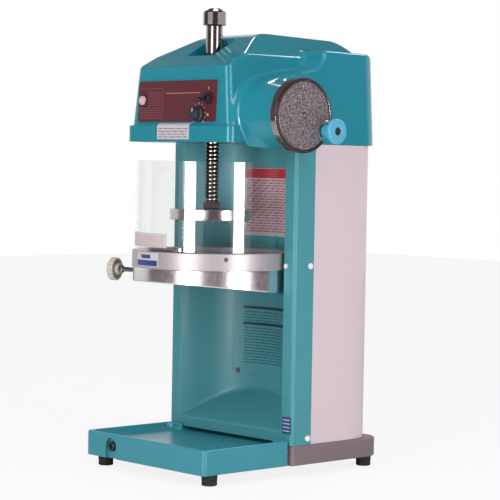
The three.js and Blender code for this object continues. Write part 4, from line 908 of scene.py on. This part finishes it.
def tray_field(x, y, z):
    """Distance to the tray: a box with a dish that opens to the rear, and a drain lug under an arch."""

    def rect(half, front, back, radius, ax=0):
        return both(radius, np.abs(x - ax) - half, front - y, y - back)

    outer = rect(150, -140, 46.2, 7)
    skin = both(3, outer, z - TRAY_TOP)
    skin = np.maximum(skin, TRAY_LOW - z)
    slope = 0.12 * (z - TRAY_TOP)
    basin = both(5, rect(143.5, -133.5, 39.4, 9) - slope, 48.3 - z)
    mouth = both(4, np.abs(x) - 116, 48.3 - z, 30 - y)
    dish = either(1.5, basin, mouth)
    tray = both(2.2, skin, -dish)
    below = np.maximum(rect(147, -137, 60, 4), z - 45.2)
    tray = np.maximum(tray, -below)
    lug = np.maximum(np.maximum(np.abs(x - DRAIN_X) - 17, np.abs(y + 134.5) - 5), TRAY_LOW - z)
    lug = np.maximum(lug, z - 47)
    tray = np.minimum(tray, lug)
    round_top = np.hypot(x - DRAIN_X, np.maximum(z - DRAIN_Z, 0)) - 13.5
    arch = both(3, np.maximum(round_top, y + 135), -y - 150)
    return np.maximum(tray, -arch)


tray = implicit(tray_field, (-153, -143, 15), (153, 49, 62.6), 1.6)
tongue = slab(rectangle(-118, 118, 45, 78.8), 46.3, 48.3, 0.3, 1)
spans = [(-118, -116, 45, 78.8), (116, 118, 45, 78.8), (-118, 118, 76.8, 78.8)]
walls = [block(*span, 47, 52.3, 0.5, 0.4) for span in spans]
shaded(piece("tray_shell", tray, TRAY, "drip_tray", body="tray", weld=False), tray_field)
piece("tray_tongue", joined(tongue, *walls), TRAY, body="tray")
spout = turned([[4, -6], [4, 4.6], [4.6, 5.0], [7.6, 5.0], [8.5, 4.3], [8.5, 1.6], [6.4, 1.2], [6.4, -6],
    [4, -6]], 0.5, 48)
spout = moved(spout, towards((0, -1, 0)), (DRAIN_X, -135, DRAIN_Z))
piece("drain_spout", spout, BLACK, "drain_nipple", body="tray")

# ---- column

SHEET = 2.8
SCOOP_LIP = 72.8
SCOOP_TAN = math.tan(math.radians(30))
R = 136.0


def fixed_fillet(before, corner, after, radius, steps):
    """A rounded corner that always has the same number of points."""
    points = rounded([before, corner, after], radius, steps)[1:-1]
    return points if len(points) == steps + 1 else np.repeat([np.asarray(corner, float)], steps + 1, 0)


def build_column():
    """The bent front casing: two flanges, the round recess with its sloping floor, and the apron."""
    circle = arc(R, 20.12, 159.88, 56)
    plan = np.concatenate([[[HALF, SEAM_Y], [HALF, FRONT_Y]], circle, [[-HALF, FRONT_Y], [-HALF, SEAM_Y]]])
    radii = [0, 6, 3.2] + [0] * (len(circle) - 2) + [3.2, 6, 0]
    plan = rounded(plan, radii, 6)
    rows = np.linspace(0, 1, 26)
    columns = []
    for x, y in plan:
        top = np.array([y, TOP_Z])
        if abs(x) < 130 and y > FRONT_Y + 0.02:
            floor = SCOOP_LIP + SCOOP_TAN * (y - FRONT_Y)
            bend = fixed_fillet(top, (y, floor), (FRONT_Y, SCOOP_LIP), 15, 6)
            lip = fixed_fillet((y, floor), (FRONT_Y, SCOOP_LIP), (FRONT_Y, FOOT_Z + 4.5), 5, 5)
            wall = top + rows[:, None] * (bend[0] - top)
            run = bend[-1] + np.linspace(0, 1, 9)[1:-1, None] * (lip[0] - bend[-1])
            line = np.concatenate([wall, bend[1:], run, lip, [[FRONT_Y, FOOT_Z + 4.5]]])
        else:
            line = top + np.linspace(0, 1, 26 + 6 + 7 + 6 + 1)[:, None] * (np.array([y, FOOT_Z]) - top)
        columns.append(np.column_stack([np.full(len(line), x), line]))
    obj = piece("column_shell", loft(columns, wrap=False), COLUMN, "column_casing", angle=40)
    rear = [p for p in obj.data.polygons if abs(p.center.z - 0.3) < 0.1 and local(p.center).y > 130]
    if sum(p.normal.y for p in rear) > 0:
        obj.data.flip_normals()
    skin = obj.modifiers.new("sheet", "SOLIDIFY")
    skin.thickness = SHEET * MM
    skin.offset = -1
    bpy.context.view_layer.update()
    bake(obj)
    settle(obj.data, 40)


build_column()


def on_recess(x0, x1, z0, z1, lift=0.5, back=0.4, radius=R, corner=3.0, edge=0.3):
    """A thin plate bent to the recess wall."""
    flat = rounded(rectangle(x0, x1, z0, z1), corner, 5, True)
    dense = []
    for a, b in zip(flat, np.roll(flat, -1, 0)):
        count = max(1, int(abs(b[0] - a[0]) / 4))
        dense += [a + (b - a) * k / count for k in range(count)]
    flat = anticlockwise(dense)
    loops = []
    for inset, depth in ((0, -back), (0, lift - edge), (edge, lift)):
        line = offset(flat, inset) if inset else flat
        r = radius - depth
        loops.append(np.column_stack([line[:, 0], np.sqrt(r * r - line[:, 0] ** 2), line[:, 1]]))
    points, faces = loft(loops)
    # The face is filled by strips between the lower and upper rims, column by column.
    face = []
    for x in np.unique(np.round(loops[-1][:, 0], 4)):
        y = math.sqrt((radius - lift) ** 2 - x * x)
        heights = [p[2] for p in loops[-1] if abs(p[0] - x) < 1e-3]
        face += [(x, y, min(heights)), (x, y, max(heights))]
    start = len(points)
    strips = [(k, k + 2, k + 3, k + 1) for k in range(start, start + len(face) - 2, 2)]
    return np.concatenate([points, face]), faces + strips


piece("access_panel", on_recess(-68, 68, 146, 376, 1.3, 0.5, corner=2), COLUMN)
piece("label_upper", on_recess(-54, 47, 388, 504, 0.35), PAPER, closed=False)
piece("label_upper_band", on_recess(-53.6, 46.6, 487, 503.6, 0.5), RED, closed=False)


def dashes(start, stop, phase, gap=1.5):
    """Ends of strokes of uneven length along a printed row."""
    x = start
    while x < stop - 4:
        end = min(x + 5 + 3.4 * math.sin(phase + 0.37 * x), stop)
        yield x, end
        x = end + gap


rows = []
for k in range(20):
    for x, end in dashes(-50, 44, 2.3 * k):
        rows.append(on_recess(x, end, 482 - 4.6 * k, 484.7 - 4.6 * k, 0.5, corner=0.3, edge=0.1))
piece("label_upper_rows", joined(*rows), make_print("print_red", (186, 62, 74)), closed=False)
bars = [on_recess(-52, 46, z, z + 5, 1.62, -0.9, corner=0.4, edge=0.1) for z in (261, 233)]
piece("label_lower_bars", joined(*bars), make_print("print_dark", (12, 34, 48)), closed=False)
lower = []
for k, z in enumerate([255, 250, 245, 240] + [227 - 5 * j for j in range(13)]):
    for x, end in dashes(-50, 44, 1.7 * k, 1.8):
        lower.append(on_recess(x, end, z, z + 1.9, 1.62, -0.9, corner=0.2, edge=0.1))
piece("label_lower_rows", joined(*lower), make_print("print_teal", (30, 78, 92)), closed=False)
# Painted shade: a dark teal strip along the access panel's left edge stands for the shadow in its seam.
gap = on_recess(-69.3, -68.1, 150, 372, 0.3, corner=0.2, edge=0.1)
piece("access_gap_painted_shade", gap, make_print("gap_painted_shade", (30, 84, 98)), closed=False)


def on_front(x0, x1, z0, z1, y, lift, corner=1.0):
    """A thin plate on a face that looks to the front."""
    part = slab(rounded(rectangle(x0, x1, z0, z1), corner, 3, True), -0.3, lift, 0.1, 1)
    points = np.asarray(part[0])
    return np.column_stack([points[:, 0], y - points[:, 2], points[:, 1]]), part[1]


piece("label_blue", on_front(131, 151, 70, 98, FRONT_Y, 0.3), BLUE)
marks = [on_front(133, 149, 92 - 6 * k, 94 - 6 * k, FRONT_Y, 0.45, 0.3) for k in range(4)]
piece("label_blue_marks", joined(*marks), PAPER)


def brim_sticker():
    """A bare sticker that follows the cover from under the panel over the brim."""
    line = [(-73.9, 31.2), (-74.9, 29.6), (-78.4, 27.6), (-79.45, 26.0), (-79.45, 4)]
    path = rounded(line, 1.2, 3)
    loops = []
    for x, lift in ((-49, -0.4), (-49, 0.25), (-48.8, 0.35), (30.8, 0.35), (31, 0.25), (31, -0.4)):
        loops.append([(x, y - lift, HEAD_Z + h + lift * 0.4) for y, h in path])
    return loft(loops, wrap=False)


piece("brim_sticker", brim_sticker(), PAPER, closed=False)
marks = []
for k in range(4):
    z = HEAD_Z + 7 + 4.6 * k
    marks += [on_front(x, end, z, z + 1.8, -79.75, 0.15, 0.2) for x, end in dashes(-45, 27, 2.1 * k)]
piece("brim_sticker_rows", joined(*marks), make_print("print_grey", (120, 112, 116)))


def build_cover():
    """The rear cover: a sheet bent to a squarish U."""
    power = 2 / 7
    depth = COVER_REAR - SEAM_Y - 0.6
    loops = []
    profile = [(0, FOOT_Z), (0, TOP_Z), (3, TOP_Z), (3, FOOT_Z)]
    profile = rounded(profile, [0.8, 0.8, 0.5, 0.5], 2, True)
    for a in np.linspace(0, math.pi, 97):
        loop = []
        for inset, z in profile:
            x = (HALF - inset) * np.sign(math.cos(a)) * abs(math.cos(a)) ** power
            y = SEAM_Y + 0.6 + (depth - inset) * math.sin(a) ** power
            loop.append((x, y, z))
        loops.append(loop)
    return piece("cover_shell", loft(loops, caps=True), COVER, "rear_cover", angle=30)


build_cover()
dome = turned([[0, 0], [5.2, 0], [5.3, 1.4], [4.4, 3.3], [2.4, 4.4], [0, 4.7]], 0.9, 40)
for side, name in ((1, "right"), (-1, "left")):
    for level, z in (("lower", FOOT_Z + 10.5), ("upper", FOOT_Z + 294.7)):
        place = moved(dome, towards((side, 0, 0)), (side * (HALF + 0.2), SEAM_Y - 8, z))
        piece(f"dome_{level}_{name}", place, WHITE, f"cover_screw_{level}_{name}")
small = turned([[0, -0.5], [4.4, -0.5], [4.4, 1.0], [3.4, 2.2], [0, 3.0]], 0.8, 36)
piece("flange_screw", moved(small, towards((0, -1, 0)), (133, FRONT_Y, 345)), WHITE)
SCREW_X = -60.5
at = (SCREW_X, math.sqrt(R * R - SCREW_X**2) - 0.9, 153)
piece("access_screw", moved(small, towards((0.45, -0.89, 0)), at), IRON)
gland = turned([[4, -14], [4, 13.4], [4.8, 14], [8.4, 14], [9, 13.2], [9, 6.6], [11.4, 6], [12, 5.2],
    [12, 1], [11.6, 0.3], [8, 0.3], [8, -14], [4, -14]], 0.5, 48)
piece("gland_body", moved(gland, towards((0, 1, 0)), (-60, COVER_REAR, FOOT_Z + 34)), BLACK, "cable_gland")

# ---- ring, shroud, table and adjuster

ring_profile = [[RING_IN, RING_LOW], [RING_OUT, RING_LOW], [RING_OUT, RING_TOP], [RING_STEP, RING_TOP],
    [RING_STEP, 354.2], [RING_IN, 354.2]]
ring = turned(ring_profile, [0.5, 1.2, 1.4, 1.2, 0.3, 0.5], 220, 4, closed=True)
piece("ring_body", ring, SATIN, "blade_ring")


def build_shroud():
    """A sheet ring under the blade ring, cut at a slope, deeper at the rear. Its wall has support loops."""
    wall = [(2, 0), (0.3, 0), (0, 0.03), (0, 0.1), (0, 0.9), (0, 0.96), (0.2, 0.99), (0.8, 1), (1.8, 0.99),
        (2, 0.5)]
    loops = []
    for a in np.linspace(0, TURN, 220, endpoint=False):
        loop = []
        for inset, share in wall:
            r = SHROUD_OUT - inset
            y = r * math.sin(a)
            depth = SHROUD_SHORT + (SHROUD_LONG - SHROUD_SHORT) * (y / 258 + 0.5)
            loop.append((r * math.cos(a), y, RING_LOW - 0.2 - share * (depth - 0.2)))
        loops.append(loop)
    return loft(loops + loops[:1])


piece("shroud_body", build_shroud(), SHROUD, "ring_shroud", angle=50)
ADJUSTER = 201.5
RADIAL, ACROSS = heading(ADJUSTER), heading(ADJUSTER + 90)
table = turned([[0, 354.5], [121.7, 354.5], [121.7, 360.2], [0, 360.2]], 0.8, 180)
table = piece("table_disc", table, STAINLESS, "blade_table")
corners = [RADIAL[:2] * r + ACROSS[:2] * t for r, t in rectangle(14, 112, -12, 12)]
carve(table, slab(rounded(corners, 3, 4, True), 340, 370, 0.1, 1))
screw = turned([[0, -1], [3.6, -1], [3.6, 0.9], [3.0, 1.4], [0, 1.5]], 0.4, 32)
SCREW_WAY = heading(-30.7)
piece("ring_screw", moved(screw, towards(SCREW_WAY), SCREW_WAY * 130.9 + (0, 0, 357)), IRON)


def along_radius(part, reach):
    """From a part turned about Z to one turned about the adjuster's axis."""
    matrix = np.column_stack([np.array([0, 0, 1.0]), ACROSS, RADIAL])
    return moved(part, matrix, RADIAL * reach + (0, 0, 328))


KNOB = [[4.3, -4.5], [8.6, -4.5], [9.2, -3.6], [9.6, 8], [16.4, 8], [16.6, 0.6], [18.4, 0], [19.75, 1.4],
    [19.75, 9.8], [18.4, 11.6], [16, 12], [13, 11.7], [7, 11.2], [6.4, 10.6], [0, 10.4], [0, 9], [4.3, 9],
    [4.3, -4.5]]


def ribs(angle, r, z):
    """Finger grooves round the knob's rim."""
    wave = np.maximum(np.cos(12 * angle), 0) ** 3
    return r - np.where(r > 16.9, 1.3, 0) * wave * (0.3 < z < 11.5)


knob = turned(KNOB, [0.4] * 3 + [0.8] * 2 + [0.8] * 10 + [0.3] * 3, 192, 3, wave=ribs)
piece("knob_body", along_radius(knob, 178), IVORY, "adjust_knob", body="adjuster")
thread = [[0, 0.3]] + [[4.0 if k % 2 else 3.5, 0.3 + 0.5 * k] for k in range(1, 150)] + [[3.6, 76], [0, 76]]
neck = lathe(thread, 32)
hexagon = turned([[3, 57.5], [7, 57.5], [7, 62.5], [3, 62.5], [3, 57.5]], 0.4, 72, wave=faceted(6))
rod = along_radius(joined(neck, hexagon), 110)
piece("adjust_rod", rod, CHROME, "adjust_screw", body="adjuster")

# ---- guard

GUARD_LOW, GUARD_HIGH = 366.5, 514.0


def build_guard():
    """The clear wall, open to the rear."""
    loops = []
    profile = rounded(rectangle(123.5, 126.5, GUARD_LOW, GUARD_HIGH), 0.7, 3, True)
    for a in np.radians(np.linspace(-90 - 108.9, -90 + 108.9, 150)):
        loops.append([(r * math.cos(a), r * math.sin(a), z) for r, z in profile])
    return loft(loops, caps=True)


piece("guard_wall", build_guard(), CLEAR, "guard", body="guard", angle=50)


def on_cylinder(a0, a1, z0, z1, r, thick=0.25):
    """A thin plate bent round the spindle's axis, between two angles."""
    section = rectangle(r, r + thick, z0, z1)
    loops = []
    for a in np.radians(np.linspace(a0, a1, 16)):
        loops.append([(q * math.cos(a), q * math.sin(a), z) for q, z in section])
    return loft(loops, caps=True)


piece("guard_sticker", on_cylinder(-130, -76, 373, 396, 126.6), PAPER, body="guard")
rows = [on_cylinder(-127, -79, z, z + 1.6, 126.9) for z in (376, 380.4, 384.8, 389.2)]
piece("guard_sticker_rows", joined(*rows), make_print("print_faded", (212, 176, 180)), body="guard")
piece("ring_sticker", on_cylinder(-108, -82, 342, 364.4, 131.05), PAPER)
blocks = [on_cylinder(-107, -83, 343, 352, 131.3), on_cylinder(-101, -90, 355, 361, 131.3)]
piece("ring_sticker_blue", joined(*blocks), BLUE)
keeper = on_cylinder(-112, -66, 366.5, 371, 127.5, 2)
pin = turned([[0, 127], [4.2, 127], [4.2, 129.6], [3.2, 131], [0, 131.2]], 0.5, 40)
PIN_WAY = heading(-64.5)
piece("guard_keeper", joined(keeper, moved(pin, towards(PIN_WAY), (0, 0, 370.8))), STAINLESS, "guard_strip")

# ---- spindle

COLLAR_TOP, SHANK_LOW, CAP_LOW, TIP = 446.5, 692.3, 739.3, 768.3
PITCH = 6.7


def build_thread():
    """The threaded spindle with a keyway along its front."""
    keys = np.radians(np.concatenate([np.linspace(-104, -76, 9), np.linspace(-70, 250, 56)]))
    key_half = 3.0
    count = 12
    levels = np.arange(COLLAR_TOP + 0.4, SHANK_LOW + 0.01, PITCH / count)
    loops = []
    for z in levels:
        fade = min(1, (z - COLLAR_TOP - 0.4) / 3, (SHANK_LOW - z) / 3)
        phase = ((z - keys * PITCH / TURN) / PITCH) % 1
        tooth = np.clip(np.abs(phase - 0.5) * 4.2 - 0.55, 0, 1)
        r = 12 - 2.5 * (tooth * tooth * (3 - 2 * tooth)) * max(fade, 0)
        x, y = r * np.cos(keys), r * np.sin(keys)
        if COLLAR_TOP + 6 < z < SHANK_LOW - 3:
            inside = (np.abs(x) < key_half + 0.01) & (y < 0)
            y = np.where(inside, -9.4, y)
        loops.append(np.column_stack([x, y, np.full(len(keys), z)]))
    return loft(loops, caps=True)


shank = turned([[0, SHANK_LOW - 0.3], [13, SHANK_LOW - 0.3], [13.8, SHANK_LOW + 1], [13.8, CAP_LOW - 1.2],
    [13, CAP_LOW - 0.2], [0, CAP_LOW - 0.2]], 0.5, 96)
piece("spindle_body", build_thread(), THREAD, "spindle_screw", body="spindle", angle=40)
piece("spindle_shank", shank, SPINDLE, body="spindle", angle=40)
cap = turned([[0, CAP_LOW], [17.6, CAP_LOW], [19.2, CAP_LOW + 1.2], [19.2, TIP - 7.5], [18, TIP - 5.6],
    [10, TIP - 1.5], [9, TIP - 0.6], [0, TIP]], 0.5, 140, wave=faceted(14))
piece("spindle_crown", cap, SPINDLE, "spindle_cap", body="spindle", angle=12)
nut6 = turned([[0, 435.6], [13.8, 435.6], [15.2, 437], [15.2, 445], [13.8, 446.5], [0, 446.5]], 0.4, 120,
    wave=faceted(6))
piece("collar_nut", nut6, CHROME, "spindle_collar", body="spindle", angle=20)
disc = turned([[0, 417.2], [69.5, 417.2], [69.5, 435.2], [16, 435.2], [15, 434.8], [0, 434.8]],
    [0, 1.3, 1.5, 0.4, 0.4, 0], 160, 4)
spike = lathe([[0, -5], [0.5, -4.4], [1.9, 0.3], [0, 0.3]], 20)
spikes = []
for radius, count in ((24, 6), (44, 10), (61, 14)):
    for k in range(count):
        a = (k + 0.5) * TURN / count
        spikes.append(moved(spike, at=(radius * math.cos(a), radius * math.sin(a), 417.2)))
piece("spiked_disc", joined(disc, *spikes), STAINLESS, "spike_plate", body="spindle")

# ---- handwheel

TO_RIGHT = np.array([[0, 0, 1.0], [1, 0, 0], [0, 1.0, 0]])


def along_axle(part):
    """From a part turned about Z, its height being x, to one turned about the axle."""
    return moved(part, TO_RIGHT, (0, 0, AXLE_Z))


GRIP_Y, GRIP_Z = 48.0, 565.0
rim_profile = [[8.3, 201], [59.5, 201], [59.5, 214.6], [57.2, 214.6], [57.2, 218.8], [56.6, 219.6],
    [55.9, 219.6], [55.6, 218.8], [55.6, 205.5], [8.3, 205.5], [8.3, 201]]
rim = turned(rim_profile, [0.3, 1.4, 0.4, 0.1, 0.4, 0.3, 0.3, 0.2, 0.4, 0.3, 0.3], 200, 4)
rim = piece("wheel_rim", along_axle(rim), CHROME, "handwheel_rim", body="handwheel")


def at_grip(part):
    """The same about the grip's axis."""
    return moved(part, TO_RIGHT, (0, GRIP_Y, GRIP_Z))


def bore(radius, x0, x1):
    """A cutter on the grip's axis."""
    return at_grip(lathe([[0, x0], [radius, x0], [radius, x1], [0, x1]], 64))


carve(rim, bore(16, 205.5, 230), bore(3.8, 190, 230))
gasket = turned([[57.4, 214.8], [59.5, 214.8], [59.6, 216], [59.5, 218.4], [58.6, 219.8], [57.8, 219.8],
    [57.4, 219.2], [57.4, 214.8]], 0.3, 200)
gasket = piece("wheel_gasket", along_axle(gasket), GASKET, body="handwheel")
carve(gasket, bore(16.6, 200, 230))
face_profile = [[5.3, 207.8], [8.3, 207.8], [8.3, 206], [54.4, 206], [54.4, 218.0], [53.2, 219.1],
    [7.4, 219.2], [6.6, 218.6], [5.3, 218.4], [5.3, 207.8]]
face = turned(face_profile, [0.1, 0.1, 0.1, 0.2, 0.6, 1.0, 0.5, 0.4, 0.1, 0.1], 200, 3)
face = piece("wheel_face", along_axle(face), HAMMERED, "handwheel_face", body="handwheel")
carve(face, bore(18, 200, 230))
lining = turned([[16.05, 205.6], [17.6, 205.6], [17.6, 219.4], [16.9, 219.9], [16.05, 219.6],
    [16.05, 205.6]], 0.3, 128)
lining = piece("wheel_scoop", at_grip(lining), CHROME, body="handwheel")
outside = turned([[55.8, 195], [100, 195], [100, 230], [55.8, 230], [55.8, 195]], 0, 200)
carve(lining, along_axle(outside))
axle = turned([[0, 19.2], [8, 19.2], [8, 207.5], [5, 207.5], [5, 217.6], [4.2, 218.4], [2, 218.2],
    [1.5, 217.2], [0, 217.2]], 0.4, 64)
piece("axle_bar", along_axle(axle), STEEL, "handwheel_shaft", body="handwheel")
GRIP_PROFILE = [[3.8, 205.8], [10.6, 205.8], [11, 207], [10.4, 222], [11.2, 231], [16, 236.4],
    [20.1, 239.4], [20.5, 242], [20.2, 244.6], [18, 246.6], [8.6, 246.8], [6.6, 246.2], [6.2, 242.3],
    [3.8, 242.3], [3.8, 205.8]]
grip = turned(GRIP_PROFILE, [0.2, 0.5, 2, 6, 5, 4, 2, 1, 1, 1.6, 0.8, 0.8, 0.2, 0.2, 0.2], 96, 4)
piece("grip_knob", at_grip(grip), GRIP, "grip", body="grip")
# The bolt is black plastic, and dark also as painted shade for the hole in the grip.
pin = turned([[0, 201], [3.5, 201], [3.5, 242.6], [5.8, 242.6], [5.8, 244.6], [4.8, 245.8], [2.2, 245.8],
    [1.8, 244.6], [0, 244.6]], 0.3, 48)
piece("grip_bolt", at_grip(pin), BLACK, "grip_pin", body="handwheel")

for obj in PIECES:
    if not obj.data.has_custom_normals:
        even(obj)

# ---- CAD nodes that stay in view

CARRIED = {
    "frame_post_left": STEEL, "frame_post_right": STEEL, "head_frame": IRON, "head_floor": HEAD,
    "control_module": BLACK, "motor_body": BASE, "drive_belt": RUBBER, "gear_case_lower": IRON,
    "gear_case_upper": IRON, "spindle_bearing": STEEL, "handwheel_bracket": IRON, "ring_bracket": IRON,
    "ring_bolt_left": STEEL, "ring_bolt_right": STEEL, "motor_shaft": STEEL, "motor_pulley": IRON,
    "countershaft": STEEL, "counter_pulley": IRON, "drive_sleeve": STEEL, "drive_gear": STEEL,
    "feed_nut": BRASS, "bevel_pinion": STEEL, "blade": STAINLESS, "blade_holder": IRON,
}
for name, material in CARRIED.items():
    NODES[name].data.materials.clear()
    NODES[name].data.materials.append(material)

# ---- stage, lights and camera


def sheet(name, corners, material):
    mesh = bpy.data.meshes.new(name)
    mesh.from_pydata(corners, [], [tuple(range(len(corners)))])
    mesh.materials.append(material)
    obj = shown(name, mesh)
    return obj


def level_square(half, z):
    return [(*corner, z) for corner in rectangle(-half, half, -half, half)]


def pale_floor():
    f = Finish("pale_floor", (250, 250, 250), 0.6)
    f.tint((244, 244, 244), f.ramp(f.noise(2), 0.4, 0.8, 0, 0.3))
    material = f.done(0.05, 8)
    glow = f.new("ShaderNodeEmission", {"Color": (1, 1, 1, 1), "Strength": 1.0})
    seen = f.math("MULTIPLY", f.new("ShaderNodeLightPath").outputs["Is Camera Ray"], 0.86)
    mix = f.new("ShaderNodeMixShader", {0: seen})
    f.links.new(f.shader.outputs[0], mix.inputs[1])
    f.links.new(glow.outputs[0], mix.inputs[2])
    f.links.new(mix.outputs[0], f.nodes["Material Output"].inputs["Surface"])
    return material


sheet("floor", level_square(6, 0), pale_floor())


def lamp(name, azimuth, height, distance, width, tall, watts, mirrored=True, lit=True):
    """A soft box. One that is not mirrored gives no highlight, and one that is not lit gives nothing else."""
    data = bpy.data.lights.new(name, "AREA")
    data.shape = "RECTANGLE"
    data.size = width
    data.size_y = tall
    data.energy = watts
    obj = shown(name, data)
    a = math.radians(azimuth)
    target = Vector((AXIS[0], AXIS[1], 0.42))
    obj.location = target + Vector((math.sin(a) * distance, -math.cos(a) * distance, height - 0.42))
    obj.rotation_euler = (target - obj.location).to_track_quat("-Z", "Y").to_euler()
    obj.visible_glossy = mirrored
    obj.visible_diffuse = lit
    return obj


lamp("strip_left", 16.6, 0.75, 2.0, 0.61, 2.2, 20)
lamp("strip_right", 89.5, 0.75, 2.0, 0.6, 2.2, 15)
lamp("overhead", 40, 2.6, 1.2, 1.8, 1.8, 12, mirrored=False)
lamp("gleam_left", 16.6, -0.06, 2.0, 0.61, 1.2, 34, lit=False)
lamp("gleam_right", 89.5, -0.06, 2.0, 0.6, 1.2, 34, lit=False)
lamp("gleam_rear", 165, 2.2, 1.9, 0.9, 0.5, 14, lit=False)
lamp("gleam_top", -136, 2.45, 1.6, 0.4, 0.4, 5, lit=False)


def only_mirrored(obj):
    obj.visible_camera = obj.visible_diffuse = obj.visible_shadow = False


def card(name, azimuth, distance, width, low, high):
    """An upright dark card that only reflections show."""
    a = math.radians(azimuth)
    ahead = np.array([math.sin(a), -math.cos(a)]) * distance + AXIS[:2]
    side = np.array([math.cos(a), math.sin(a)]) * width / 2
    corners = [(*(ahead - side), low), (*(ahead + side), low), (*(ahead + side), high),
        (*(ahead - side), high)]
    only_mirrored(sheet(name, corners, CARD))


CARD = make_print("dark_card", (136, 122, 124), 0.8)
card("card_centre", 57, 2.6, 1.9, 0.0, 2.6)
card("card_left", -28, 2.6, 2.6, 0.0, 2.6)
card("card_right", 128, 2.6, 1.7, 0.0, 2.6)
only_mirrored(sheet("card_ceiling", level_square(3.6, 2.7), CARD))



def studio():
    """Soft grey-blue light, and plain white wherever the camera, a mirror or clear plastic sees it."""
    world = bpy.data.worlds.new("studio")
    bpy.context.scene.world = world
    world.use_nodes = True
    tree = world.node_tree
    light = tree.nodes["Background"]
    light.inputs["Color"].default_value = (0.97, 0.98, 1.0, 1)
    light.inputs["Strength"].default_value = 0.44
    white = wired(tree, "ShaderNodeBackground", {"Color": (1, 1, 1, 1), "Strength": 1.0})
    rays = wired(tree, "ShaderNodeLightPath").outputs
    seen = rays["Is Camera Ray"]
    for kind in ("Is Glossy Ray", "Is Transmission Ray"):
        seen = wired(tree, "ShaderNodeMath", {0: seen, 1: rays[kind]}, operation="MAXIMUM").outputs[0]
    mix = wired(tree, "ShaderNodeMixShader", {0: seen, 1: light.outputs[0], 2: white.outputs[0]})
    tree.links.new(mix.outputs[0], tree.nodes["World Output"].inputs["Surface"])


studio()

# The camera that matches the photo: angles, focal length in pixels, and place in millimetres about the axis.
AZIMUTH, DOWN, ROLL = (math.radians(a) for a in (47.325, 2.568, 0.99))
FOCAL, IMAGE, SENSOR = 1933.59, 500, 36
PLACE_RIGHT, PLACE_UP, DISTANCE = 71.64, 366.11, 3244.09
back = Vector((math.sin(AZIMUTH) * math.cos(DOWN), -math.cos(AZIMUTH) * math.cos(DOWN), math.sin(DOWN)))
level = Vector((math.cos(AZIMUTH), math.sin(AZIMUTH), 0))
above = back.cross(level)
right = math.cos(ROLL) * level + math.sin(ROLL) * above
up = math.cos(ROLL) * above - math.sin(ROLL) * level
lens = bpy.data.cameras.new("camera")
lens.sensor_width = SENSOR
lens.lens = FOCAL / IMAGE * SENSOR
lens.clip_end = 60
camera = shown("camera", lens)
spot = (right * PLACE_RIGHT + up * PLACE_UP + back * DISTANCE) * MM + Vector(AXIS)
camera.matrix_world = Matrix.Translation(spot) @ Matrix((right, up, back)).transposed().to_4x4()
bpy.context.scene.camera = camera
bpy.context.scene.view_settings.view_transform = "Standard"
